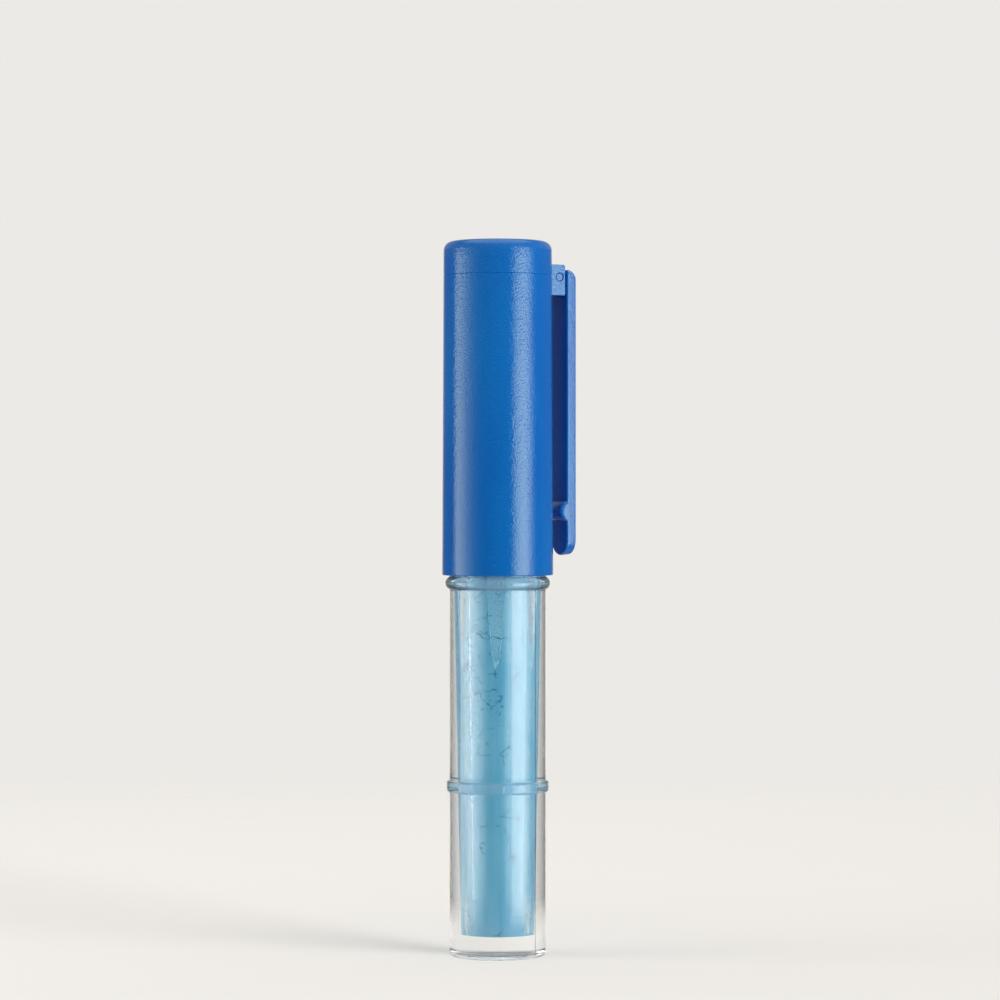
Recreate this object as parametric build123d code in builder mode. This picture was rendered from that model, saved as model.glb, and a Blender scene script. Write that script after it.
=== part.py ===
from build123d import *

import os
from math import cos, pi, radians, sin, tan

os.makedirs("parts", exist_ok=True)

# Powder chalk pen for marking cloth, in millimetres.
# It stands on its base with its axis on Z, +Z up towards the cap, and the base at z = 0.
# The front is -Y, and the pocket clip stands to the right and a little to the back.

# Clear barrel: outside
barrel_radius = 7.75
body_length = 58.9
bead_height = 2.1
bead_projection = 0.7
neck_length = 10.0
neck_lead_in = 0.4
post_ring_height = 27.3
post_ring_width = 1.75
post_ring_projection = 0.45
post_ring_corner = 0.3
base_edge_radius = 0.7
foot_recess_radius = 5.2
foot_recess_depth = 0.6

# Clear barrel: the tapered bore and the five flats near each of its ends
floor_thickness = 3.5
bore_floor_radius = 3.93
bore_taper_deg = 0.79
upper_flat_height = 46.0
lower_flat_height = 17.7
lower_flat_taper_deg = 1.11
flat_turn_deg = -2.6
flat_count = 5

# Chalk powder
powder_top_gap = 0.5
powder_wall_gap = 0.02

# Nose plug: five-sided spigot, flange, grip collar and cone
spigot_length = 9.0
spigot_clearance = 0.05
powder_channel_radius = 2.6
flange_inset = 0.35
flange_thickness = 1.5
collar_length = 4.5
collar_radius = 6.6
collar_groove_radius = 0.35
collar_groove_count = 20
cone_length = 8.5
cone_tip_radius = 4.9
socket_depth = 8.0

# Fork: two halves that hold the marking wheel between them
fork_root_radius = 3.4
fork_seat_clearance = 0.02
fork_channel_half_width = 2.2
bill_rise = 11.0
bill_root_half_thickness = 3.4
bill_tip_half_thickness = 1.75
bill_flare_length = 7.0
bill_side_wall = 0.6
bill_tip_half_width = 2.6
bill_corner_radius = 5.3
wheel_rim_gap = 0.35
wheel_exposure = 0.7
wheel_slot_width = 0.9

# Marking wheel and its axle
wheel_radius = 3.75
wheel_thickness = 0.5
tooth_count = 40
tooth_depth = 0.3
hub_radius = 1.3
hub_side_clearance = 0.03
axle_radius = 0.5
axle_clearance = 0.03
axle_end_inset = 0.1

# Cap shell and crown
cap_length = 53.7
cap_projection = 1.2
cap_draft_deg = 0.245
cap_seat_gap = 0.2
cap_fit_clearance = 0.06
cap_step_gap = 0.5
cap_wall = 1.4
cap_lead_in = 0.25
mouth_edge_radius = 0.2
crown_height = 5.5
crown_edge_radius = 1.5
crown_top_thickness = 1.4
crown_spigot_length = 3.0
crown_spigot_wall = 1.2
crown_seat_clearance = 0.02

# Pocket clip and the lugs that hold its trunnions
clip_angle_deg = 30.0
clip_width = 5.0
clip_thickness = 1.85
clip_gap = 2.55
clip_end_rise = 3.1
clip_top_radius = 1.8
clip_edge_radius = 0.25
clip_pad_rise = 7.2
clip_pad_length = 3.2
clip_pad_depth = 1.1
knuckle_radius = 1.25
knuckle_wall_gap = 0.17
knuckle_side_clearance = 0.1
trunnion_radius = 0.65
trunnion_clearance = 0.05
trunnion_end_gap = 0.1
lug_thickness = 0.75
lug_wall = 0.4
lug_depth = 3.0
ear_height = 2.0

# A cut runs past the material by this much
overrun = 1.0

# Heights up the axis
bead_top = body_length + bead_height
rim_height = bead_top + neck_length
spigot_bottom = rim_height - spigot_length
flange_top = rim_height + flange_thickness
collar_top = flange_top + collar_length
cone_top = collar_top + cone_length
socket_bottom = cone_top - socket_depth
wheel_height = cone_top + bill_rise
cap_mouth = bead_top + cap_seat_gap
cap_top = cap_mouth + cap_length
shell_top = cap_top - crown_height
cap_step = flange_top + cap_step_gap
clip_bottom = cap_mouth + clip_end_rise
clip_pad_height = clip_bottom + clip_pad_rise

# One flat faces the front, turned aside by flat_turn_deg, and a corner is half a side on
flat_corner_deg = flat_turn_deg - 90 + 180 / flat_count

# The cap stands out from the barrel at its mouth
cap_mouth_radius = barrel_radius + cap_projection

# The hinge of the clip lies on the seam between shell and crown
knuckle_height = shell_top


def bore_radius(height):
    """Radius of the tapered bore at a height."""
    return bore_floor_radius + (height - floor_thickness) * tan(radians(bore_taper_deg))


def lower_flat_apothem(height):
    """Distance from the axis to the lower flats, which lean in towards the floor."""
    return bore_radius(lower_flat_height) + (height - lower_flat_height) * tan(radians(lower_flat_taper_deg))


def cap_radius(height):
    """Outside radius of the drafted cap at a height."""
    return cap_mouth_radius - (height - cap_mouth) * tan(radians(cap_draft_deg))


def upper_bore_radius(height):
    """Inside radius of the cap above its step."""
    return cap_radius(height) - cap_wall


def bore_form(low, high, gap):
    """The space inside the barrel between two heights, drawn in by a gap all round."""
    with BuildPart() as form:
        with BuildSketch(Plane.XY.offset(low)):
            Circle(bore_radius(low) - gap)
        with BuildSketch(Plane.XY.offset(high)):
            Circle(bore_radius(high) - gap)
        loft(ruled=True)
        with BuildSketch(Plane.XY.offset(low)):
            RegularPolygon(bore_radius(upper_flat_height) - gap, flat_count, False, flat_corner_deg)
        extrude(amount=high - low, mode=Mode.INTERSECT)
        with BuildSketch(Plane.XY.offset(low)):
            RegularPolygon(lower_flat_apothem(low) - gap, flat_count, False, flat_corner_deg)
        with BuildSketch(Plane.XY.offset(high)):
            RegularPolygon(lower_flat_apothem(high) - gap, flat_count, False, flat_corner_deg)
        loft(ruled=True, mode=Mode.INTERSECT)
    return form.part


def write(piece, name):
    """Labels a finished piece and writes its STEP file."""
    piece.part.label = name
    export_step(piece.part, f"parts/{name}.step")


# Barrel: a clear tube with a closed foot
bore = bore_form(floor_thickness, rim_height + overrun, 0)

with BuildPart() as barrel:
    with BuildSketch(Plane.XZ):
        with BuildLine():
            Line((0, 0), (barrel_radius, 0))
            Line((barrel_radius, 0), (barrel_radius, body_length))
            ThreePointArc(
                (barrel_radius, body_length),
                (barrel_radius + bead_projection, body_length + bead_height / 2),
                (barrel_radius, bead_top),
            )
            Line((barrel_radius, bead_top), (barrel_radius, rim_height))
            Line((barrel_radius, rim_height), (0, rim_height))
            Line((0, rim_height), (0, 0))
        make_face()
    revolve(axis=Axis.Z)
    base_edge = barrel.edges().filter_by(GeomType.CIRCLE).sort_by(Axis.Z)[0]
    rim_edge = barrel.edges().filter_by(GeomType.CIRCLE).sort_by(Axis.Z)[-1]
    fillet(base_edge, base_edge_radius)
    chamfer(rim_edge, neck_lead_in)
    with BuildSketch(Plane.XZ):
        with Locations((barrel_radius, post_ring_height)):
            band = Rectangle(2 * post_ring_projection, post_ring_width)
        fillet(band.vertices().group_by(Axis.X)[-1], post_ring_corner)
    revolve(axis=Axis.Z)
    with BuildSketch(Plane.XY):
        Circle(foot_recess_radius)
    extrude(amount=foot_recess_depth, mode=Mode.SUBTRACT)
    add(bore, mode=Mode.SUBTRACT)
write(barrel, "barrel")

# Chalk powder: the filling, as high as the end of the nose plug's spigot
powder = bore_form(floor_thickness, spigot_bottom - powder_top_gap, powder_wall_gap)

with BuildPart() as chalk_powder:
    add(powder)
write(chalk_powder, "chalk_powder")

# Nose plug: pulls out of the barrel to refill it
spigot = bore_form(spigot_bottom, rim_height, spigot_clearance)

with BuildPart() as nose_plug:
    add(spigot)
    with BuildSketch(Plane.XY.offset(rim_height)):
        Circle(barrel_radius - flange_inset)
    extrude(amount=flange_thickness)
    with BuildSketch(Plane.XY.offset(flange_top)):
        Circle(collar_radius)
        with PolarLocations(collar_radius, collar_groove_count):
            Circle(collar_groove_radius, mode=Mode.SUBTRACT)
    extrude(amount=collar_length)
    with BuildSketch(Plane.XY.offset(collar_top)):
        Circle(collar_radius - collar_groove_radius)
    with BuildSketch(Plane.XY.offset(cone_top)):
        Circle(cone_tip_radius)
    loft(ruled=True)
    with BuildSketch(Plane.XY.offset(spigot_bottom)):
        Circle(powder_channel_radius)
    extrude(amount=cone_top - spigot_bottom, mode=Mode.SUBTRACT)
    with BuildSketch(Plane.XY.offset(socket_bottom)):
        Circle(fork_root_radius)
    extrude(amount=socket_depth, mode=Mode.SUBTRACT)
write(nose_plug, "nose_plug")

# Fork halves: front and back, mirrored, closed on each other beside the wheel
pocket_radius = wheel_radius + wheel_rim_gap
bill_half_width = pocket_radius + bill_side_wall
bill_tip = wheel_height + wheel_radius - wheel_exposure


def fork_half(side):
    """One half of the fork: side is -1 for the front half and 1 for the back half."""
    with BuildPart() as half:
        with BuildSketch(Plane.XZ):
            with BuildLine():
                Line((-cone_tip_radius, cone_top), (cone_tip_radius, cone_top))
                Line((cone_tip_radius, cone_top), (bill_half_width, wheel_height))
                Line((bill_half_width, wheel_height), (bill_tip_half_width, bill_tip))
                Line((bill_tip_half_width, bill_tip), (-bill_tip_half_width, bill_tip))
                Line((-bill_tip_half_width, bill_tip), (-bill_half_width, wheel_height))
                Line((-bill_half_width, wheel_height), (-cone_tip_radius, cone_top))
            make_face()
        extrude(amount=bill_root_half_thickness, both=True)
        with BuildSketch(Plane.YZ):
            with BuildLine():
                flare_top = cone_top + bill_flare_length
                Polyline(
                    (0, cone_top),
                    (side * bill_root_half_thickness, cone_top),
                    (side * bill_tip_half_thickness, flare_top),
                    (side * bill_tip_half_thickness, bill_tip),
                    (0, bill_tip),
                    close=True,
                )
            make_face()
        extrude(amount=bill_half_width + overrun, both=True, mode=Mode.INTERSECT)
        with BuildSketch(Plane.XY.offset(cone_top)):
            Circle(cone_tip_radius)
        with BuildSketch(Plane.XY.offset(bill_tip)):
            Circle(bill_corner_radius)
        loft(ruled=True, mode=Mode.INTERSECT)
        with BuildSketch(Plane.XY.offset(socket_bottom)):
            Circle(fork_root_radius - fork_seat_clearance)
            with Locations((0, -side * fork_root_radius)):
                Rectangle(2 * fork_root_radius, 2 * fork_root_radius, mode=Mode.SUBTRACT)
        extrude(amount=socket_depth)
        with BuildSketch(Plane.YZ):
            with BuildLine():
                Polyline(
                    (0, socket_bottom),
                    (side * fork_channel_half_width, socket_bottom),
                    (side * wheel_slot_width / 2, wheel_height),
                    (0, wheel_height),
                    close=True,
                )
            make_face()
        extrude(amount=fork_channel_half_width, both=True, mode=Mode.SUBTRACT)
        with BuildSketch(Plane.XZ):
            with Locations((0, wheel_height)):
                Circle(pocket_radius)
        extrude(amount=wheel_slot_width / 2, both=True, mode=Mode.SUBTRACT)
        with BuildSketch(Plane.XZ):
            with Locations((0, wheel_height)):
                Circle(axle_radius)
        extrude(amount=bill_tip_half_thickness, both=True, mode=Mode.SUBTRACT)
    return half


fork_front = fork_half(-1)
write(fork_front, "fork_front")

fork_back = fork_half(1)
write(fork_back, "fork_back")

# Wheel axle: a plain pin held by both halves
axle_half_length = bill_tip_half_thickness - axle_end_inset

with BuildPart() as wheel_axle:
    with BuildSketch(Plane.XZ):
        with Locations((0, wheel_height)):
            Circle(axle_radius)
    extrude(amount=axle_half_length, both=True)
write(wheel_axle, "wheel_axle")

# Marking wheel: a thin toothed disc on a short hub
rim_points = []
for tooth in range(tooth_count):
    tip_angle = 2 * pi * tooth / tooth_count
    root_angle = tip_angle + pi / tooth_count
    root_radius = wheel_radius - tooth_depth
    rim_points.append((wheel_radius * cos(tip_angle), wheel_height + wheel_radius * sin(tip_angle)))
    rim_points.append((root_radius * cos(root_angle), wheel_height + root_radius * sin(root_angle)))

with BuildPart() as marking_wheel:
    with BuildSketch(Plane.XZ):
        with BuildLine():
            Polyline(*rim_points, close=True)
        make_face()
    extrude(amount=wheel_thickness / 2, both=True)
    with BuildSketch(Plane.XZ):
        with Locations((0, wheel_height)):
            Circle(hub_radius)
    extrude(amount=wheel_slot_width / 2 - hub_side_clearance, both=True)
    with BuildSketch(Plane.XZ):
        with Locations((0, wheel_height)):
            Circle(axle_radius + axle_clearance)
    extrude(amount=wheel_slot_width, both=True, mode=Mode.SUBTRACT)
write(marking_wheel, "marking_wheel")

# Cap shell: a drafted tube, open at both ends, with two lugs for the clip
clip_out = Vector(cos(radians(clip_angle_deg)), sin(radians(clip_angle_deg)), 0)
clip_along = Vector(-clip_out.Y, clip_out.X, 0)
clip_side = Plane((0, 0, 0), x_dir=clip_out, z_dir=-clip_along)
knuckle_reach = cap_radius(knuckle_height) + knuckle_wall_gap + knuckle_radius
lug_reach = knuckle_reach + trunnion_radius + lug_wall
lug_slot_half_width = clip_width / 2 - lug_thickness
lug_root_reach = cap_radius(knuckle_height) - cap_wall / 2


def add_lugs(low, high):
    """Two lugs on the outside of the cap between two heights, notched for the trunnions."""
    slot_start = cap_radius(knuckle_height)
    slot_end = lug_reach + overrun
    middle = (low + high) / 2
    with BuildSketch(clip_side) as block:
        with Locations(((lug_root_reach + lug_reach) / 2, middle)):
            Rectangle(lug_reach - lug_root_reach, high - low)
    with BuildSketch(clip_side) as slot:
        with Locations(((slot_start + slot_end) / 2, middle)):
            Rectangle(slot_end - slot_start, high - low)
    with BuildSketch(clip_side) as notch:
        with Locations((knuckle_reach, knuckle_height)):
            Circle(trunnion_radius + trunnion_clearance)
    extrude(block.sketch, amount=clip_width / 2, both=True)
    extrude(slot.sketch, amount=lug_slot_half_width, both=True, mode=Mode.SUBTRACT)
    extrude(notch.sketch, amount=clip_width / 2 + overrun, both=True, mode=Mode.SUBTRACT)


with BuildPart() as cap_shell:
    with BuildSketch(Plane.XY.offset(cap_mouth)):
        Circle(cap_radius(cap_mouth))
    with BuildSketch(Plane.XY.offset(shell_top)):
        Circle(cap_radius(shell_top))
    loft(ruled=True)
    fillet(cap_shell.edges().group_by(Axis.Z)[0], mouth_edge_radius)
    add_lugs(shell_top - lug_depth, shell_top)
    with BuildSketch(Plane.XY.offset(cap_mouth)):
        Circle(barrel_radius + cap_fit_clearance)
    extrude(amount=cap_step - cap_mouth, mode=Mode.SUBTRACT)
    with BuildSketch(Plane.XY.offset(cap_step)):
        Circle(upper_bore_radius(cap_step))
    with BuildSketch(Plane.XY.offset(shell_top)):
        Circle(upper_bore_radius(shell_top))
    loft(ruled=True, mode=Mode.SUBTRACT)
    mouth_circles = cap_shell.edges().filter_by(GeomType.CIRCLE).group_by(Axis.Z)[0]
    chamfer(mouth_circles.sort_by(SortBy.RADIUS)[0], cap_lead_in)
write(cap_shell, "cap_shell")

# Cap crown: a cup pressed into the top of the shell, which traps the clip
with BuildPart() as cap_crown:
    with BuildSketch(Plane.XY.offset(shell_top)):
        Circle(cap_radius(shell_top))
    with BuildSketch(Plane.XY.offset(cap_top)):
        Circle(cap_radius(cap_top))
    loft(ruled=True)
    fillet(cap_crown.edges().group_by(Axis.Z)[-1], crown_edge_radius)
    add_lugs(shell_top, shell_top + ear_height)
    spigot_radius = upper_bore_radius(shell_top) - crown_seat_clearance
    with BuildSketch(Plane.XY.offset(shell_top - crown_spigot_length)):
        Circle(spigot_radius)
    extrude(amount=crown_spigot_length)
    with BuildSketch(Plane.XY.offset(shell_top - crown_spigot_length)):
        Circle(spigot_radius - crown_spigot_wall)
    extrude(amount=crown_spigot_length + crown_height - crown_top_thickness, mode=Mode.SUBTRACT)
write(cap_crown, "cap_crown")

# Pocket clip: a flat arm with a round end, a grip pad inside and a trunnion at its root
arm_inner = cap_mouth_radius + clip_gap
arm_outer = arm_inner + clip_thickness
arm_middle = (arm_inner + arm_outer) / 2
arm_top = knuckle_height + knuckle_radius
knuckle_half_width = lug_slot_half_width - knuckle_side_clearance
clip_face = Plane((0, 0, 0), x_dir=clip_along, z_dir=clip_out)

with BuildPart() as pocket_clip:
    with BuildSketch(clip_side):
        with BuildLine():
            pad_low = clip_pad_height - clip_pad_length / 2
            pad_high = clip_pad_height + clip_pad_length / 2
            Line((arm_inner, clip_bottom), (arm_outer, clip_bottom))
            Line((arm_outer, clip_bottom), (arm_outer, arm_top))
            Line((arm_outer, arm_top), (arm_inner, arm_top))
            Line((arm_inner, arm_top), (arm_inner, pad_high))
            ThreePointArc(
                (arm_inner, pad_high), (arm_inner - clip_pad_depth, clip_pad_height), (arm_inner, pad_low)
            )
            Line((arm_inner, pad_low), (arm_inner, clip_bottom))
        make_face()
    extrude(amount=clip_width / 2, both=True)
    top_edges = pocket_clip.edges().filter_by(Axis((0, 0, 0), clip_along)).group_by(Axis.Z)[-1]
    fillet(top_edges.sort_by(Axis((0, 0, 0), clip_out))[-1], clip_top_radius)
    with BuildSketch(clip_face):
        with BuildLine():
            Polyline(
                (-clip_width / 2, clip_bottom + clip_width / 2),
                (-clip_width / 2, arm_top),
                (clip_width / 2, arm_top),
                (clip_width / 2, clip_bottom + clip_width / 2),
            )
            ThreePointArc(
                (clip_width / 2, clip_bottom + clip_width / 2),
                (0, clip_bottom),
                (-clip_width / 2, clip_bottom + clip_width / 2),
            )
        make_face()
    extrude(amount=arm_outer + overrun, mode=Mode.INTERSECT)
    outer_face = pocket_clip.faces().sort_by(Axis((0, 0, 0), clip_out))[-1]
    fillet(outer_face.edges(), clip_edge_radius)
    with BuildSketch(clip_side):
        with Locations((knuckle_reach, knuckle_height)):
            Circle(knuckle_radius)
        with Locations(((knuckle_reach + arm_middle) / 2, knuckle_height)):
            Rectangle(arm_middle - knuckle_reach, 2 * knuckle_radius)
    extrude(amount=knuckle_half_width, both=True)
    with BuildSketch(clip_side):
        with Locations((knuckle_reach, knuckle_height)):
            Circle(trunnion_radius)
    extrude(amount=clip_width / 2 - trunnion_end_gap, both=True)
write(pocket_clip, "pocket_clip")
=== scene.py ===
"""Powder chalk pen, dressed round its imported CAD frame.

The pen stands on its base at z = 0 with its axis on Z, and the front is -Y. Sizes in the classes are in
millimetres, as on a drawing, and Skin turns them into metres when it makes a mesh.
"""

from __future__ import annotations

import logging
from collections.abc import Sequence
from dataclasses import dataclass, field
from enum import Enum
from math import acos, atan2, cos, degrees, pi, radians, sin, sqrt, tan

import bmesh
import bpy
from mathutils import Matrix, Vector, noise

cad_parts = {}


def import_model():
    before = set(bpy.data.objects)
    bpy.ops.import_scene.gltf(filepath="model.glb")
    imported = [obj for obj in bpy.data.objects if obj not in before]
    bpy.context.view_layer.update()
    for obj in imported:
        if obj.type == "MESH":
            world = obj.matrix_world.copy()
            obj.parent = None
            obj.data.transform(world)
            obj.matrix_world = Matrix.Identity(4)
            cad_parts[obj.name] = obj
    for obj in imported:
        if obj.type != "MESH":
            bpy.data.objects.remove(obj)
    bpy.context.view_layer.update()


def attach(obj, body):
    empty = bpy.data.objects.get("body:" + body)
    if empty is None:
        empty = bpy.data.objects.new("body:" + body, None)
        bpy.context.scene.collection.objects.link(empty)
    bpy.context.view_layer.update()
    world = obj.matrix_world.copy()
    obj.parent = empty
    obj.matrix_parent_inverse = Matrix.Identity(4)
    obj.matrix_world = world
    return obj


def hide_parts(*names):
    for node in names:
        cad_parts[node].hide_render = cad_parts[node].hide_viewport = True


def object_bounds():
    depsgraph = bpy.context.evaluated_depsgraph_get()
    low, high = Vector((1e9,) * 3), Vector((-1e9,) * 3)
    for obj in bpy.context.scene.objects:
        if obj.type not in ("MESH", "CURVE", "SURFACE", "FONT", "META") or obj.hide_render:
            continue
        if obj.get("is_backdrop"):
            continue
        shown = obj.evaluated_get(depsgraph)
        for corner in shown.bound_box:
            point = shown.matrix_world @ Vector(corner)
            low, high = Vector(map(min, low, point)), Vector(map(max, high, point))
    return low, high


MM = 0.001
FRONT = -pi / 2
SAME_PLACE = 2e-7
CREASE_DEG = 25.0
FINE_CREASE_DEG = 12.0
BEVEL_DEG = 32.0
log = logging.getLogger("chalk_pen")

# A station is a radius and a height in a profile, or a direction and its brightness
Point = tuple[float, float, float]
Station = tuple[float, float]
Range = tuple[float, float]
Colour = tuple[float, float, float, float]
Socket = bpy.types.NodeSocket


class Slot(Enum):
    """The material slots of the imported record."""

    CLEAR = "clear_plastic"
    CHALK = "chalk"
    BLUE = "blue_plastic"
    STEEL = "steel"


class Body(Enum):
    """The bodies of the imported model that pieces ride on."""

    BARREL = "barrel"
    NOSE = "nose"
    WHEEL = "wheel"
    CAP = "cap"
    CLIP = "clip"


# Geometry helpers


def polar(radius: float, angle: float, height: float) -> Point:
    """A point at a radius and an angle round the pen's axis."""
    return (radius * cos(angle), radius * sin(angle), height)


def spread_angles(total: int, start: float, fixed: Sequence[float]) -> list[float]:
    """Angles for one turn that include some given ones.

    Args:
        total: how many angles there are in all.
        start: the first angle, in radians.
        fixed: further angles that have to be among them.

    Returns:
        The angles in rising order, with the gaps between the fixed ones divided evenly.
    """
    turn = 2 * pi
    knots = sorted({0.0} | {round((a - start) % turn, 6) for a in fixed}) + [turn]
    gaps = [b - a for a, b in zip(knots, knots[1:])]
    counts = [1] * len(gaps)
    for _ in range(total - len(gaps)):
        widest = max(range(len(gaps)), key=lambda i: gaps[i] / counts[i])
        counts[widest] += 1
    angles = []
    for low, gap, count in zip(knots, gaps, counts):
        angles += [start + low + gap * step / count for step in range(count)]
    return angles


def arc(centre: Station, radius: float, start: float, end: float, steps: int) -> list[Station]:
    """Points of an arc in a profile.

    Args:
        centre: its centre, as radius from the axis and height.
        radius: its own radius.
        start: where it starts, in degrees from outward, turning upward.
        end: where it ends.
        steps: how many equal steps it has.

    Returns:
        The points, both ends included.
    """
    points = []
    for step in range(steps + 1):
        turn = radians(start + (end - start) * step / steps)
        points.append((centre[0] + radius * cos(turn), centre[1] + radius * sin(turn)))
    return points


def broken_ends(first: float, last: float, edge: float) -> list[Station]:
    """Places along a bar whose end edges are broken.

    Args:
        first: where it starts.
        last: where it ends.
        edge: how wide its edges are broken.

    Returns:
        Each place, and how far the outline is drawn in there.
    """
    step = edge if last > first else -edge
    return [(first, edge), (first + step, 0.0), (last - step, 0.0), (last, edge)]


class Skin:
    """The vertices and faces of one piece, gathered ring by ring in millimetres."""

    def __init__(self) -> None:
        """Starts with nothing in it."""
        self.points: list[Point] = []
        self.faces: list[tuple[int, ...]] = []
        self.finishes: list[int] = []

    def ring(self, points: Sequence[Point]) -> list[int]:
        """Adds a row of points.

        Args:
            points: the points in order.

        Returns:
            Their numbers.
        """
        first = len(self.points)
        self.points += [(x * MM, y * MM, z * MM) for x, y, z in points]
        return list(range(first, len(self.points)))

    def band(self, low: list[int], high: list[int], finish: int = 0) -> None:
        """Joins two rings of equal length with four-sided faces.

        Args:
            low: the first ring.
            high: the second ring.
            finish: which of the piece's materials the faces take.
        """
        for here in range(len(low)):
            after = (here + 1) % len(low)
            self.faces.append((low[here], low[after], high[after], high[here]))
            self.finishes.append(finish)

    def bands(self, rows: list[list[int]], looped: bool = False) -> None:
        """Joins rings one after the other.

        Args:
            rows: the rings.
            looped: whether the last one joins the first.
        """
        for low, high in zip(rows, rows[1:] + (rows[:1] if looped else [])):
            self.band(low, high)

    def fan(self, row: list[int], tip: Point, finish: int = 0) -> None:
        """Closes a ring on a single point.

        Args:
            row: the ring.
            tip: the point.
            finish: which of the piece's materials the faces take.
        """
        (centre,) = self.ring([tip])
        for here, corner in enumerate(row):
            self.faces.append((corner, row[(here + 1) % len(row)], centre))
            self.finishes.append(finish)

    def lid(self, row: Sequence[int]) -> None:
        """Closes a flat row with one face."""
        self.faces.append(tuple(row))
        self.finishes.append(0)

    def stack(self, rows: list[list[int]]) -> Skin:
        """Joins rings one after the other and closes both ends with a flat face.

        Args:
            rows: the rings.

        Returns:
            The skin itself.
        """
        self.bands(rows)
        self.lid(rows[0])
        self.lid(rows[-1])
        return self

    def piece(self, name: str, materials: Sequence[bpy.types.Material],
              crease: float = CREASE_DEG) -> bpy.types.Object:
        """Makes the mesh and its object.

        Args:
            name: the name of the piece.
            materials: its materials, in the order of the faces' finish numbers.
            crease: faces that meet at more than this many degrees keep a hard edge.

        Returns:
            The object, linked to the scene.
        """
        mesh = bpy.data.meshes.new(name)
        mesh.from_pydata(self.points, [], self.faces)
        for material in materials:
            mesh.materials.append(material)
        mesh.polygons.foreach_set("material_index", self.finishes)
        mesh.validate()
        mend_normals(mesh)
        mesh.shade_smooth()
        mesh.set_sharp_from_angle(angle=radians(crease))
        made = bpy.data.objects.new(name, mesh)
        bpy.context.scene.collection.objects.link(made)
        return made


def mend_normals(mesh: bpy.types.Mesh) -> None:
    """Drops faces without area from a mesh, which is one closed shell, and turns the others outward.

    Args:
        mesh: the mesh.
    """
    work = bmesh.new()
    work.from_mesh(mesh)
    bmesh.ops.remove_doubles(work, verts=work.verts, dist=SAME_PLACE)
    bmesh.ops.dissolve_degenerate(work, dist=SAME_PLACE, edges=work.edges)
    bmesh.ops.recalc_face_normals(work, faces=work.faces)
    if work.calc_volume(signed=True) < 0:
        bmesh.ops.reverse_faces(work, faces=work.faces)
    work.to_mesh(mesh)
    work.free()


def unite(piece: bpy.types.Object, added: Sequence[bpy.types.Object], cut: Sequence[bpy.types.Object] = (),
          bevel: float = 0.0) -> None:
    """Adds forms to a piece, cuts others out of it and keeps the result as its mesh.

    Args:
        piece: the piece, which must be closed.
        added: closed forms to add, deleted afterwards.
        cut: closed forms to take away, deleted afterwards.
        bevel: how wide the edges are broken at the end, in millimetres.
    """
    forms = [(form, "UNION") for form in added] + [(form, "DIFFERENCE") for form in cut]
    for form, operation in forms:
        step = piece.modifiers.new("step", "BOOLEAN")
        step.operation, step.solver, step.object = operation, "EXACT", form
    if bevel:
        edge = piece.modifiers.new("edge", "BEVEL")
        edge.width, edge.segments, edge.angle_limit = bevel * MM, 2, radians(BEVEL_DEG)
    bpy.context.view_layer.update()
    graph = bpy.context.evaluated_depsgraph_get()
    result = bpy.data.meshes.new_from_object(piece.evaluated_get(graph))
    piece.modifiers.clear()
    piece.data = result
    mend_normals(result)
    result.shade_smooth()
    result.set_sharp_from_angle(angle=radians(CREASE_DEG))
    for form, _ in forms:
        bpy.data.objects.remove(form)


def place(piece: bpy.types.Object, body: Body, nodes: Sequence[str]) -> None:
    """Rides a piece on its body and hides the CAD nodes that it stands for.

    Args:
        piece: the finished object.
        body: the body that it moves with.
        nodes: the CAD nodes that it replaces.
    """
    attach(piece, body.value)
    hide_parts(*nodes)
    log.info("%s: %d faces, rides on %s", piece.name, len(piece.data.polygons), body.value)


# Finishes


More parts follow.
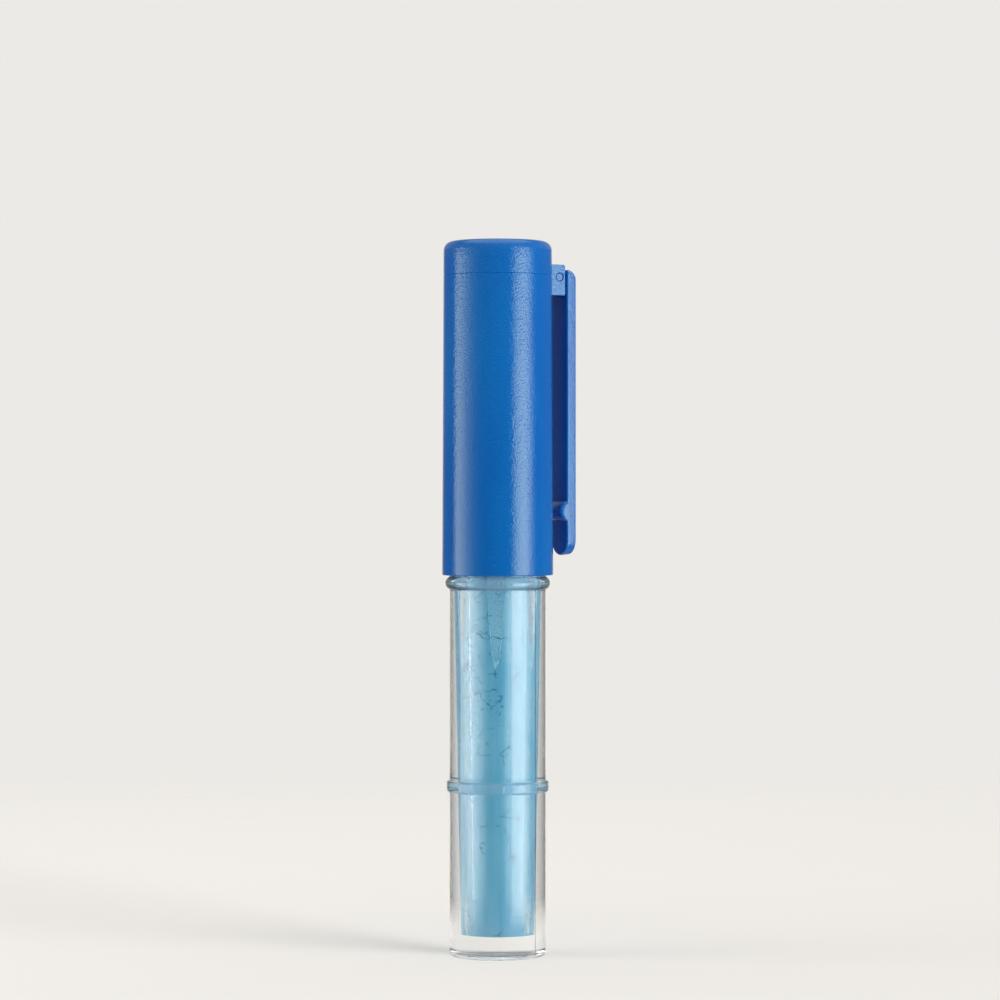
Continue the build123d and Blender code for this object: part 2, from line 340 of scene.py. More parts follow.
class NodeSheet:
    """The nodes of one material or world."""

    def __init__(self, tree: bpy.types.NodeTree) -> None:
        """Empties the tree and keeps it."""
        tree.nodes.clear()
        self.tree = tree

    def add(self, kind: str, inputs: dict | None = None, **settings: object) -> bpy.types.Node:
        """Adds a node.

        Args:
            kind: the node's type, without the ShaderNode in front.
            inputs: values or output sockets for its inputs, by name or number.
            settings: its own properties.

        Returns:
            The node.
        """
        node = self.tree.nodes.new("ShaderNode" + kind)
        for name, value in settings.items():
            setattr(node, name, value)
        for key, value in (inputs or {}).items():
            if isinstance(value, Socket):
                self.tree.links.new(value, node.inputs[key])
            else:
                node.inputs[key].default_value = value
        return node

    def math(self, operation: str, first: object, second: object = 0.0) -> Socket:
        """The result of a calculation on two values or sockets."""
        return self.add("Math", {0: first, 1: second}, operation=operation).outputs[0]

    def times(self, first: object, second: object) -> Socket:
        """The product of two values or sockets."""
        return self.math("MULTIPLY", first, second)

    def reach(self, where: Socket, by: Point) -> Socket:
        """How far a place is from the origin, with each axis scaled first."""
        scaled = self.add("VectorMath", {0: where, 1: by}, operation="MULTIPLY").outputs[0]
        return self.add("VectorMath", {0: scaled}, operation="LENGTH").outputs["Value"]

    def height(self) -> Socket:
        """How high a point is on the piece, in metres in the pen's frame."""
        return self.add("SeparateXYZ", {0: self.place_in_pen()}).outputs["Z"]

    def place_in_pen(self) -> Socket:
        """Where a point is on the piece, in metres in the pen's frame."""
        return self.add("TexCoord").outputs["Object"]

    def stretched(self, by: Point) -> Socket:
        """The place on the piece with each axis scaled."""
        return self.add("Mapping", {"Vector": self.place_in_pen(), "Scale": by}).outputs[0]

    def grain(self, scale: float, detail: float = 3.0, by: Point = (1, 1, 1)) -> Socket:
        """Noise from 0 to 1.

        Args:
            scale: how many spots there are in a metre.
            detail: how many finer layers it has.
            by: how each axis is scaled, to stretch the spots.

        Returns:
            The noise.
        """
        where = self.stretched(by)
        return self.add("TexNoise", {"Vector": where, "Scale": scale, "Detail": detail}).outputs[0]

    def ramp(self, value: object, low: float, high: float, to: Range = (0, 1)) -> Socket:
        """A smooth step of a value.

        Args:
            value: what it reads.
            low: where the step starts.
            high: where it ends.
            to: what it gives below and above.

        Returns:
            The stepped value.
        """
        inputs = {"Value": value, "From Min": low, "From Max": high, "To Min": to[0], "To Max": to[1]}
        return self.add("MapRange", inputs, interpolation_type="SMOOTHSTEP").outputs[0]

    def blend(self, share: object, first: object, second: object) -> Socket:
        """Two colours mixed by a share, which is how much there is of the second."""
        inputs = {"Factor": share, 6: first, 7: second}
        return self.add("Mix", inputs, data_type="RGBA").outputs[2]

    def mix(self, share: object, first: object, second: object) -> Socket:
        """Two values mixed by a share, which is how much there is of the second."""
        return self.add("Mix", {0: share, 2: first, 3: second}, data_type="FLOAT").outputs[0]

    def relief(self, height: Socket, depth: float, over: Socket | None = None,
               strength: object = 1.0) -> Socket:
        """Fine bumps for a shader's Normal.

        Args:
            height: the shape of the bumps, from 0 to 1.
            depth: how deep they are, in metres.
            over: coarser or finer bumps that these are added to.
            strength: how much they show, from 0 to 1.

        Returns:
            The normal.
        """
        inputs = {"Height": height, "Strength": strength, "Distance": depth}
        if over is not None:
            inputs["Normal"] = over
        return self.add("Bump", inputs).outputs[0]

    def close(self, shader: Socket) -> None:
        """Joins a shader to the material's output."""
        self.add("OutputMaterial", {"Surface": shader})


def new_material(name: str) -> tuple[bpy.types.Material, NodeSheet]:
    """Makes a new material with an empty node sheet.

    Args:
        name: its name.

    Returns:
        The material and the sheet.
    """
    material = bpy.data.materials.new(name)
    material.use_nodes = True
    return material, NodeSheet(material.node_tree)


@dataclass(frozen=True)
class ClearPlastic:
    """Clear moulded plastic that bends light, with faint flow streaks.

    Lamps reach what is behind it straight, so that a filling in it is lit as if in the open. The contact is
    the share of the surface where packed powder touches it and leaves no air between. Painted shade: darker
    tint lines lie beside the bead and the ring, each given by its height and its reach.
    """

    tint: Colour = (0.985, 0.995, 0.99, 1)
    index: float = 1.5
    roughness: float = 0.02
    streak_depth: float = 1.6e-6
    wave_depth: float = 7e-6
    haze_painted_reflection_tint: Colour = (0.50, 0.72, 0.85, 1)
    # Painted shade: the tint of the thin lines beside the bead and the ring, where their edges throw shade
    crease_shade_tint: Colour = (0.38, 0.52, 0.64, 1)
    shaded_crease_lines: tuple[Station, ...] = ((59.15, 0.28), (60.95, 0.18), (28.08, 0.13), (26.52, 0.13))
    contact: float = 0.85

    def painted_crease_shade(self, sheet: NodeSheet) -> Socket:
        """A value from 0 to 1 for the painted shade lines beside the bead and the ring, by height and width.

        Args:
            sheet: the material's nodes.

        Returns:
            The value.
        """
        height = sheet.height()
        mask = 0.0
        for middle, reach in self.shaded_crease_lines:
            away = sheet.math("ABSOLUTE", sheet.math("SUBTRACT", height, middle * MM))
            mask = sheet.math("MAXIMUM", mask, sheet.ramp(away, reach * MM * 0.3, reach * MM, (1, 0)))
        return mask

    def make(self, name: str, bore: BoreForm | None = None, haze: float = 0.0) -> bpy.types.Material:
        """Makes the material.

        Args:
            name: its name.
            bore: given where packed powder lies against the surface.
            haze: how milky it is, from 0 to 1; a hazed surface also takes a blue tint, which is painted
                reflection of the blue in and around the bead and the ring.

        Returns:
            The material.
        """
        material, sheet = new_material(name)
        streaks = sheet.relief(sheet.grain(2600, 2, (1, 1, 0.03)), self.streak_depth)
        waves = sheet.relief(sheet.grain(260, 1, (1, 1, 0.25)), self.wave_depth, streaks)
        # Partly a milky haze, partly painted reflection: hazed faces take a blue tint for the cap's and the
        # powder's blue seen in the bead and the ring
        tint = self.haze_painted_reflection_tint if haze else self.tint
        # Painted shade: the base colour turns to the crease shade tint in thin bands beside the bead and the
        # ring
        glass = sheet.add(
            "BsdfPrincipled",
            {
                "Base Color": sheet.blend(self.painted_crease_shade(sheet), tint, self.crease_shade_tint),
                "Roughness": self.roughness,
                "IOR": self.index,
                "Transmission Weight": 1.0 - haze,
                "Normal": waves,
            },
        ).outputs[0]
        path = sheet.add("LightPath").outputs
        straight = sheet.add("BsdfTransparent").outputs[0]
        through = sheet.math("MAXIMUM", path["Is Shadow Ray"], path["Is Diffuse Ray"])
        if bore:
            share = self.contact
            packed = sheet.ramp(sheet.grain(2400, 4), 0.38, 0.62, (share - 0.1, share + 0.1))
            loose = sheet.ramp(sheet.grain(4200, 3), 0.44, 0.56, (share - 0.6, share - 0.15))
            dust = sheet.blend(bore.flat_mask(sheet), packed, loose)
            through = sheet.math("MAXIMUM", through, dust)
        sheet.close(sheet.add("MixShader", {0: through, 1: glass, 2: straight}).outputs[0])
        return material


@dataclass(frozen=True)
class PackedChalk:
    """Pale blue chalk powder packed against clear plastic, with specks and hairline cracks."""

    pale: Colour = (0.125, 0.42, 0.61, 1)
    deep: Colour = (0.075, 0.35, 0.56, 1)
    flat_tone: Colour = (0.13, 0.43, 0.67, 1)
    grain_tone: Colour = (0.42, 0.62, 0.72, 1)
    # Painted highlight colour of the glint along the corners of the flats; the wheel's chalk dust uses it
    # too
    corner_glint_and_dust_tone: Colour = (0.50, 0.74, 0.84, 1)
    speck: Colour = (0.02, 0.12, 0.24, 1)
    pressed_gloss: float = 0.22
    shine: float = 0.8
    relief_depth: float = 5e-6
    crack_scale: float = 300.0
    crack_width: float = 0.032
    wander: float = 0.003
    wander_scale: float = 420.0
    coarse_from: Range = (29.0, 35.0)

    def make(self, name: str, bore: BoreForm) -> bpy.types.Material:
        """Makes the material.

        Args:
            name: its name.
            bore: the bore that the powder fills; it lies looser on the bore's upper flats.

        Returns:
            The material.
        """
        material, sheet = new_material(name)
        start, end = self.coarse_from
        upper = sheet.ramp(sheet.height(), start * MM, end * MM)
        on_flat = sheet.times(bore.flat_mask(sheet), upper)
        clouds = sheet.ramp(sheet.grain(190, 4, (1, 1, 0.4)), 0.35, 0.68)
        colour = sheet.blend(clouds, self.pale, self.deep)
        streaks = sheet.ramp(sheet.grain(1500, 2, (1, 1, 0.02)), 0.45, 0.7, (0, 0.35))
        colour = sheet.blend(streaks, colour, self.deep)
        colour = sheet.blend(sheet.times(on_flat, 0.8), colour, self.flat_tone)
        grains = sheet.ramp(sheet.grain(7600, 1), 0.46, 0.60)
        share = sheet.math("ADD", sheet.times(on_flat, 0.46), 0.06)
        colour = sheet.blend(sheet.times(grains, share), colour, self.grain_tone)
        # Painted highlight: a pale broken line along the corners between cone and flats on the upper powder,
        # for the glint of light on those edges
        wear_and_glint = sheet.times(upper, sheet.ramp(sheet.grain(700, 2), 0.35, 0.6, (0.2, 0.55)))
        corner_glint = sheet.times(bore.corner_mask(sheet), wear_and_glint)
        colour = sheet.blend(corner_glint, colour, self.corner_glint_and_dust_tone)
        pits = sheet.ramp(sheet.grain(5800, 2), 0.60, 0.67)
        colour = sheet.blend(sheet.times(pits, sheet.times(on_flat, 0.5)), colour, self.speck)
        spots = sheet.times(sheet.ramp(sheet.grain(1900, 2), 0.64, 0.68), 0.75)
        strewn = sheet.ramp(sheet.grain(130, 2), 0.54, 0.62)
        colour = sheet.blend(sheet.times(spots, strewn), colour, self.speck)
        cells = {"Vector": self.warped(sheet), "Scale": self.crack_scale}
        seam = sheet.add("TexVoronoi", cells, feature="DISTANCE_TO_EDGE").outputs[0]
        crack = sheet.ramp(seam, 0.0, self.crack_width, (1, 0))
        broken = sheet.ramp(sheet.grain(420, 3), 0.49, 0.55)
        where = sheet.times(sheet.ramp(sheet.grain(110, 2), 0.45, 0.52, (0, 0.8)), broken)
        colour = sheet.blend(sheet.times(crack, where), colour, self.speck)
        rough = {"Base Color": colour, "Roughness": self.pressed_gloss, "Specular IOR Level": self.shine}
        rough["Normal"] = sheet.relief(sheet.grain(1800, 5), self.relief_depth)
        sheet.close(sheet.add("BsdfPrincipled", rough).outputs[0])
        return material

    def warped(self, sheet: NodeSheet) -> Socket:
        """The place on the piece, pushed about a little so that cracks wander.

        Args:
            sheet: the material's nodes.

        Returns:
            The place.
        """
        noise_inputs = {"Vector": sheet.place_in_pen(), "Scale": self.wander_scale, "Detail": 3.0}
        push = sheet.add("TexNoise", noise_inputs).outputs[1]
        small = sheet.add("VectorMath", {0: push, 3: self.wander}, operation="SCALE").outputs[0]
        return sheet.add("VectorMath", {0: sheet.place_in_pen(), 1: small}, operation="ADD").outputs[0]


@dataclass(frozen=True)
class BluePlastic:
    """Blue moulded plastic with a satin gloss and a fine orange peel.

    The peel fades where a face turns up or down, between the two values of peel_ends for its normal's Z.
    """

    colour: Colour = (0.003, 0.134, 0.46, 1)
    deeper: Colour = (0.002, 0.104, 0.42, 1)
    roughness: float = 0.08
    gloss_tint: Colour = (0.80, 1.0, 0.87, 1)
    peel_depth: float = 3.9e-5
    dimple_depth: float = 2.05e-5
    wave_depth: float = 5e-6
    peel_ends: Range = (0.6, 0.92)
    least_peel: float = 0.06
    index: float = 1.54
    dust_scale: float = 420.0
    speck: Colour = (0.22, 0.36, 0.52, 1)

    def make(self, name: str) -> bpy.types.Material:
        """Makes the material.

        Args:
            name: its name.

        Returns:
            The material.
        """
        material, sheet = new_material(name)
        flow = sheet.ramp(sheet.grain(90, 3, (1, 1, 0.3)), 0.35, 0.65)
        gloss = sheet.ramp(sheet.grain(900, 3), 0.3, 0.7, (self.roughness, self.roughness + 0.05))
        upward = sheet.add("SeparateXYZ", {0: sheet.add("TexCoord").outputs["Normal"]}).outputs["Z"]
        side = sheet.ramp(sheet.math("ABSOLUTE", upward), *self.peel_ends, (1, self.least_peel))
        peel = sheet.relief(sheet.grain(3000, 2), self.peel_depth, strength=side)
        dimples = sheet.relief(sheet.grain(1100, 1, (1, 1, 0.6)), self.dimple_depth, peel, side)
        waves = sheet.relief(sheet.grain(220, 1, (1, 1, 0.2)), self.wave_depth, dimples)
        cells = {"Vector": sheet.place_in_pen(), "Scale": self.dust_scale}
        dots = sheet.add("TexVoronoi", cells).outputs[0]
        few = sheet.ramp(sheet.grain(310, 1), 0.56, 0.60, (0, 0.8))
        dust = sheet.times(sheet.ramp(dots, 0.035, 0.06, (1, 0)), few)
        shell = {
            "Base Color": sheet.blend(dust, sheet.blend(flow, self.colour, self.deeper), self.speck),
            "Roughness": gloss,
            "IOR": self.index,
            "Specular Tint": self.gloss_tint,
            "Normal": waves,
        }
        sheet.close(sheet.add("BsdfPrincipled", shell).outputs[0])
        return material


@dataclass(frozen=True)
class BrushedSteel:
    """Thin bright steel with fine brushing and a little rubbed wear."""

    colour: Colour = (0.56, 0.57, 0.58, 1)
    roughness: float = 0.24
    rubbed: float = 0.14
    brush_depth: float = 1.5e-6
    dusty_from: Range = (2.9, 3.6)

    def make(self, name: str, wheel_height: float | None = None) -> bpy.types.Material:
        """Makes the material.

        Args:
            name: its name.
            wheel_height: given for the wheel, whose teeth carry chalk dust: the height of its axis.

        Returns:
            The material.
        """
        material, sheet = new_material(name)
        brushed = sheet.grain(5200, 3, (0.06, 1, 1))
        wear_and_glint = sheet.ramp(sheet.grain(800, 2), 0.4, 0.7, (self.roughness, self.roughness + self.rubbed))
        steel = {
            "Base Color": self.colour,
            "Metallic": 1.0,
            "Roughness": wear_and_glint,
            "Normal": sheet.relief(brushed, self.brush_depth),
        }
        if wheel_height:
            centre = {0: sheet.place_in_pen(), 1: (0, 0, wheel_height * MM)}
            arm = sheet.add("VectorMath", centre, operation="SUBTRACT").outputs[0]
            start, end = self.dusty_from
            rim = sheet.ramp(sheet.reach(arm, (1, 0, 1)), start * MM, end * MM, (0.05, 0.7))
            dust = sheet.times(sheet.ramp(sheet.grain(2600, 4), 0.45, 0.6), rim)
            # The chalk dust on the wheel takes the pale tone that the powder's painted corner glint uses
            steel["Base Color"] = sheet.blend(dust, self.colour, PackedChalk.corner_glint_and_dust_tone)
            steel["Metallic"] = sheet.math("SUBTRACT", 1.0, dust)
            steel["Roughness"] = sheet.math("MAXIMUM", wear_and_glint, dust)
        sheet.close(sheet.add("BsdfPrincipled", steel).outputs[0])
        return material


@dataclass(frozen=True)
class Finishes:
    """Every material of the pen, made once and shared."""

    clear: bpy.types.Material
    touched: bpy.types.Material
    hazed: bpy.types.Material
    chalk: bpy.types.Material
    blue: bpy.types.Material
    steel: bpy.types.Material
    wheel: bpy.types.Material

    @classmethod
    def make(cls) -> Finishes:
        """Makes all of them.

        Returns:
            The set.
        """
        clear = ClearPlastic()
        return cls(
            clear=clear.make("clear_barrel"),
            touched=clear.make("clear_barrel_on_powder", BoreForm()),
            hazed=clear.make("clear_barrel_hazed", haze=0.19),
            chalk=PackedChalk().make("packed_chalk", BoreForm()),
            blue=BluePlastic().make("blue_satin"),
            steel=BrushedSteel().make("brushed_steel"),
            wheel=BrushedSteel().make("dusty_wheel_steel", Wheel.height),
        )


# Barrel and filling


@dataclass(frozen=True)
class BoreForm:
    """The tapered bore of the barrel, with five flats near each of its ends."""

    floor_height: float = 3.5
    floor_radius: float = 3.93
    taper_deg: float = 0.79
    upper_flat_height: float = 46.0
    lower_flat_height: float = 17.7
    lower_taper_deg: float = 1.11
    turn_deg: float = -2.6
    flats: int = 5
    least_flat: float = radians(0.35)
    flat_from: Range = (2.5e-5, 7e-5)
    corner_from: Range = (1.7e-5, 2.1e-5)
    corner_to: Range = (2.8e-5, 3.8e-5)

    @property
    def start(self) -> float:
        """The angle where the first fifth of the bore starts."""
        return FRONT + radians(self.turn_deg) - pi / self.flats

    def cone(self, height: float) -> float:
        """The bore's radius at a height."""
        return self.floor_radius + (height - self.floor_height) * tan(radians(self.taper_deg))

    def flat(self, height: float) -> float:
        """How far the flats are from the axis at a height.

        Args:
            height: the height.

        Returns:
            The distance.
        """
        lower = self.cone(self.lower_flat_height)
        lower += (height - self.lower_flat_height) * tan(radians(self.lower_taper_deg))
        return min(self.cone(self.upper_flat_height), lower)

    def looseness(self, sheet: NodeSheet) -> Socket:
        """How far a point of a material is inside the cone that the bore would be without flats.

        Args:
            sheet: the material's nodes.

        Returns:
            The distance in metres.
        """
        reach = sheet.reach(sheet.place_in_pen(), (1, 1, 0))
        slope = tan(radians(self.taper_deg))
        start = (self.floor_radius - self.floor_height * slope) * MM
        cone = sheet.math("ADD", sheet.times(sheet.height(), slope), start)
        return sheet.math("SUBTRACT", cone, reach)

    def flat_mask(self, sheet: NodeSheet) -> Socket:
        """A value for a material on the bore: 0 on its cone and 1 on its flats."""
        return sheet.ramp(self.looseness(sheet), *self.flat_from)

    def corner_mask(self, sheet: NodeSheet) -> Socket:
        """A value for a material on the bore: 1 along the corners between cone and flats."""
        loose = self.looseness(sheet)
        return sheet.times(sheet.ramp(loose, *self.corner_from), sheet.ramp(loose, *self.corner_to, (1, 0)))

    def row(self, height: float, total: int, gap: float) -> list[Point]:
        """The bore's outline at a height.

        Args:
            height: the height.
            total: how many points it has, a multiple of the number of flats.
            gap: how far it is drawn in.

        Returns:
            The points, with one on each edge between a flat and the cone.
        """
        cone, flat = self.cone(height) - gap, self.flat(height) - gap
        half = max(acos(min(1.0, flat / cone)), self.least_flat)
        sector = pi / self.flats
        on_flat = total // self.flats * 2 // 5 // 2 * 2
        beside = (total // self.flats - on_flat) // 2
        points = []
        for number in range(self.flats):
            middle = self.start + sector * (2 * number + 1)
            steps = [-sector + (sector - half) * s / beside for s in range(beside)]
            steps += [-half + 2 * half * s / on_flat for s in range(on_flat)]
            steps += [half + (sector - half) * s / beside for s in range(beside)]
            for step in steps:
                radius = cone if abs(step) >= half else min(cone, flat / cos(step))
                points.append(polar(radius, middle + step, height))
        return points


@dataclass
class Barrel:
    """The clear barrel: a thick tube with a closed foot, a bead under the cap and a narrow ring."""

    finishes: Finishes
    bore: BoreForm = field(default_factory=BoreForm)
    radius: float = 7.75
    body_length: float = 58.9
    bead_height: float = 2.1
    bead_projection: float = 0.7
    neck_length: float = 10.0
    neck_lead_in: float = 0.4
    ring_height: float = 27.3
    ring_width: float = 1.75
    ring_projection: float = 0.45
    ring_corner: float = 0.3
    base_edge: float = 0.7
    recess_radius: float = 5.2
    recess_depth: float = 0.6
    powder_top: float = 61.5
    around: int = 240
    seam: float = FRONT + radians(51)
    seam_height: float = 0.045
    seam_half_width: float = 0.08
    notch: float = FRONT + radians(8.4)
    notch_half_width: float = 0.2
    notch_depth: float = 0.22
    notch_cut: float = 0.1
    fillet: float = 0.1
    fillet_step: float = 0.03
    lower_rings: tuple[float, ...] = (6.0, 14.0, 22.0)
    upper_rings: tuple[float, ...] = (36.0, 44.0, 52.0)
    floor_edge: tuple[Station, ...] = ((0.03, 0.2), (0.12, 0.08), (0.35, 0.0))

    @property
    def rim(self) -> float:
        """The height of the open end."""
        return self.body_length + self.bead_height + self.neck_length

    def angles(self) -> list[float]:
        """The angles of the outside, crowded at the mould seams and the ring's notch.

        Returns:
            The angles in radians.
        """
        seam_step = self.seam_half_width / self.radius
        notch_step = self.notch_half_width / self.radius
        fixed = [self.notch + notch_step * s for s in (-1.5, -1, 0, 1, 1.5)]
        for seam in (self.seam, self.seam + pi):
            fixed += [seam + seam_step * s for s in (-2, -1, -0.4, 0.4, 1, 2)]
        return spread_angles(self.around, self.bore.start, fixed)

    def away(self, angle: float, mark: float, half_width: float) -> float:
        """How far an angle is from a mark on the outside, with the mark's half width as the unit."""
        return abs((angle - mark + pi) % (2 * pi) - pi) * self.radius / half_width

    def seam_rise(self, angle: float) -> float:
        """How far the mould seam stands out at an angle.

        Args:
            angle: the angle round the axis.

        Returns:
            The seam's height there.
        """
        best = 0.0
        for seam in (self.seam, self.seam + pi):
            best = max(best, min(1.0, (1 - self.away(angle, seam, self.seam_half_width)) / 0.6))
        return best * self.seam_height

    def profile(self) -> list[Station]:
        """The outside, from the edge of the gate mark round the foot and up to the rim.

        Returns:
            Points, as radius and height.
        """
        r, ring = self.radius, self.ring_height
        out, corner = r + self.ring_projection, self.ring_corner
        low, high = ring - self.ring_width / 2, ring + self.ring_width / 2
        bead = self.body_length + self.bead_height / 2
        bow = (self.bead_height**2 / 4 + self.bead_projection**2) / (2 * self.bead_projection)
        sweep = degrees(atan2(self.bead_height / 2, bow - self.bead_projection))
        inner, depth = self.recess_radius, self.recess_depth
        wide, thin, body = self.fillet, self.fillet_step, self.body_length
        points = [(0.55, depth - 0.22), (0.75, depth - 0.18), (0.85, depth), (inner - 0.3, depth)]
        points += [(inner - 0.08, depth - 0.08), (inner, depth - 0.3), (inner, 0.1), (inner + 0.1, 0)]
        points += arc((r - self.base_edge, self.base_edge), self.base_edge, -90, 0, 12)
        points += [(r, height) for height in self.lower_rings]
        points += [(r, low - wide), (r + thin, low - thin), (r + wide, low)]
        points += arc((out - corner, low + corner), corner, -90, 0, 9)
        points += arc((out - corner, high - corner), corner, 0, 90, 9)
        points += [(r + wide, high), (r + thin, high + thin), (r, high + wide)]
        points += [(r, height) for height in self.upper_rings]
        points += [(r, body - 0.12), (r + thin, body - 0.02)]
        points += arc((r + self.bead_projection - bow, bead), bow, 4 - sweep, sweep - 4, 24)
        neck = body + self.bead_height
        points += [(r + thin, neck + 0.02), (r, neck + 0.12), (r, neck + self.neck_length / 2)]
        points += [(r, self.rim - self.neck_lead_in), (r - self.neck_lead_in, self.rim)]
        return points

    def outside(self, station: Station, angle: float) -> Point:
        """A point of the outside.

        Args:
            station: its radius and height in the profile.
            angle: its angle round the axis.

        Returns:
            The point, moved out on a seam and in on the ring's notch.
        """
        radius, height = station
        if radius > self.radius - 0.01 and height < self.rim - self.neck_lead_in:
            radius += self.seam_rise(angle)
        top = self.ring_height + self.ring_width / 2
        if self.radius + 0.05 < radius and top - 0.35 < height < top + 0.01:
            cut = max(0.0, min(1.0, 1.5 - self.away(angle, self.notch, self.notch_half_width)))
            height -= self.notch_depth * cut
            radius -= self.notch_cut * cut
        return polar(radius, angle, height)

    def bore_heights(self) -> list[float]:
        """Heights for the rings of the bore, from the rim down, crowded where the flats start.

        Returns:
            The heights, falling.
        """
        low, high = self.bore.lower_flat_height, self.bore.upper_flat_height
        rises = (0.02, 0.08, 0.2, 0.4, 0.7, 1.1, 1.6, 2.2, 3.0, 4.0, 5.2, 6.6, 8.2, 10.0, 12.0)
        heights = {self.rim - 0.12, 69.0, 66.5, 64.0, self.powder_top, 31.0}
        heights |= {high + r for r in rises} | {high, high - 0.5, high - 5, low + 0.5, low + 5, low}
        heights |= {low - r for r in rises} | {self.bore.floor_height + 0.35}
        return sorted(heights, reverse=True)

    def build(self) -> None:
        """Makes the barrel and places it."""
        skin, angles, profile = Skin(), self.angles(), self.profile()
        plain, touched, hazed = range(3)
        rows = [skin.ring([self.outside(s, a) for a in angles]) for s in profile]
        for low, high, station in zip(rows, rows[1:], profile):
            # The bead and the ring take the hazed finish, whose blue tint is painted reflection
            skin.band(low, high, hazed if station[0] > self.radius + 0.02 else plain)
        skin.fan(rows[0], (0, 0, self.recess_depth - 0.2))
        before, height_before = rows[-1], self.rim
        first = skin.ring(self.bore.row(self.rim, self.around, -0.1))
        skin.band(before, first)
        before = first
        for height in self.bore_heights():
            row = skin.ring(self.bore.row(height, self.around, 0))
            wet = height_before < self.powder_top + 0.01
            skin.band(before, row, touched if wet else plain)
            before, height_before = row, height
        floor = self.bore.floor_height
        for gap, rise in self.floor_edge:
            row = skin.ring(self.bore.row(floor + rise, self.around, gap))
            skin.band(before, row, touched)
            before = row
        skin.fan(before, (0, 0, floor), touched)
        finishes = [self.finishes.clear, self.finishes.touched, self.finishes.hazed]
        made = skin.piece("barrel_moulding", finishes, FINE_CREASE_DEG)
        place(made, Body.BARREL, ["barrel"])


@dataclass
class Filling:
    """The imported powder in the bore, with a loose uneven top."""

    finishes: Finishes
    barrel: Barrel
    gap: float = 0.015
    top_rings: int = 9
    roughness: float = 0.35
    top_sink: float = 0.4
    lump_scale: float = 1.1
    lump_seed: float = 3.7

    def build(self) -> None:
        """Makes the filling and places it."""
        skin, bore = Skin(), self.barrel.bore
        total, top = self.barrel.around, self.barrel.powder_top
        heights = [h for h in self.barrel.bore_heights() if h < top - 0.8] + [bore.floor_height + 0.02]
        rows = [skin.ring(bore.row(h, total, self.gap)) for h in heights]
        skin.bands(rows)
        skin.fan(rows[-1], (0, 0, bore.floor_height + 0.02))
        before = rows[0]
        for number in range(self.top_rings):
            share = 1 - number / self.top_rings
            points = []
            for x, y, _ in bore.row(top, total, self.gap):
                here = Vector((x * share, y * share, self.lump_seed))
                lump = noise.fractal(here * self.lump_scale, 1.0, 2.0, 4)
                rise = self.roughness * max(-1.0, min(0.95, lump))
                points.append((here.x, here.y, top - self.top_sink + rise))
            row = skin.ring(points)
            skin.band(before, row)
            before = row
        skin.fan(before, (0, 0, top - self.top_sink))
        made = skin.piece("chalk_filling", [self.finishes.chalk], FINE_CREASE_DEG)
        place(made, Body.BARREL, ["chalk_powder"])


# Nose


@dataclass
class NosePlug:
    """The plug that closes the barrel: a keyed spigot, a flange, a grip collar and a cone."""

    finishes: Finishes
    bore: BoreForm = field(default_factory=BoreForm)
    spigot_bottom: float = 62.0
    rim: float = 71.0
    spigot_gap: float = 0.05
    channel_radius: float = 2.6
    flange_radius: float = 7.4
    flange_top: float = 72.5
    collar_top: float = 77.0
    collar_radius: float = 6.6
    groove_radius: float = 0.35
    groove_count: int = 20
    cone_top: float = 85.5
    cone_tip_radius: float = 4.9
    socket_radius: float = 3.4
    socket_bottom: float = 77.5
    around: int = 360
    edge: float = 0.12
    fine_edge: float = 0.08
    spigot_rings: tuple[float, ...] = (64.0, 66.0, 68.5)

    def grooved(self, radius: float, height: float, angles: Sequence[float]) -> list[Point]:
        """A ring of the collar, drawn in at each groove.

        Args:
            radius: its radius between the grooves.
            height: its height.
            angles: the angles of its points.

        Returns:
            The points.
        """
        pitch = 2 * pi / self.groove_count
        points = []
        for angle in angles:
            away = abs((angle + pitch / 2) % pitch - pitch / 2) * self.collar_radius
            depth = sqrt(max(0.0, self.groove_radius**2 - away**2))
            points.append(polar(min(radius, self.collar_radius - depth), angle, height))
        return points

    def build(self) -> None:
        """Makes the plug and places it."""
        skin, e, fine, gap = Skin(), self.edge, self.fine_edge, self.spigot_gap
        bottom, flange, collar = self.spigot_bottom, self.flange_radius, self.collar_radius
        angles = [self.bore.start + 2 * pi * n / self.around for n in range(self.around)]
        keyed = [(bottom, gap + 2 * e), (bottom + 2 * e, gap)]
        keyed += [(height, gap) for height in self.spigot_rings + (self.rim - fine,)]
        keyed.append((self.rim, gap - fine))
        rows = [self.bore.row(height, self.around, inward) for height, inward in keyed]
        lower = arc((flange - e, self.rim + e), e, -90, 0, 4)
        lower += arc((flange - e, self.flange_top - e), e, 0, 90, 4) + [(collar + 0.1, self.flange_top)]
        rows += [[polar(r, a, z) for a in angles] for r, z in lower]
        grip = [(collar, self.flange_top + 0.1), (collar, self.collar_top - e)]
        grip += [(collar - e / 3, self.collar_top - e / 3), (collar - e, self.collar_top)]
        rows += [self.grooved(r, z, angles) for r, z in grip]
        tip, hole = self.cone_tip_radius, self.socket_radius
        upper = [(collar - self.groove_radius - 0.02, self.collar_top), (tip + 0.04, self.cone_top - 0.1)]
        upper += [(tip - 0.06, self.cone_top), (hole + fine, self.cone_top), (hole, self.cone_top - fine)]
        upper += [(hole, self.socket_bottom), (self.channel_radius, self.socket_bottom)]
        upper.append((self.channel_radius, bottom))
        rows += [[polar(r, a, z) for a in angles] for r, z in upper]
        skin.bands([skin.ring(row) for row in rows], looped=True)
        made = skin.piece("nose_moulding", [self.finishes.blue])
        place(made, Body.NOSE, ["nose_plug"])


# Cap and clip


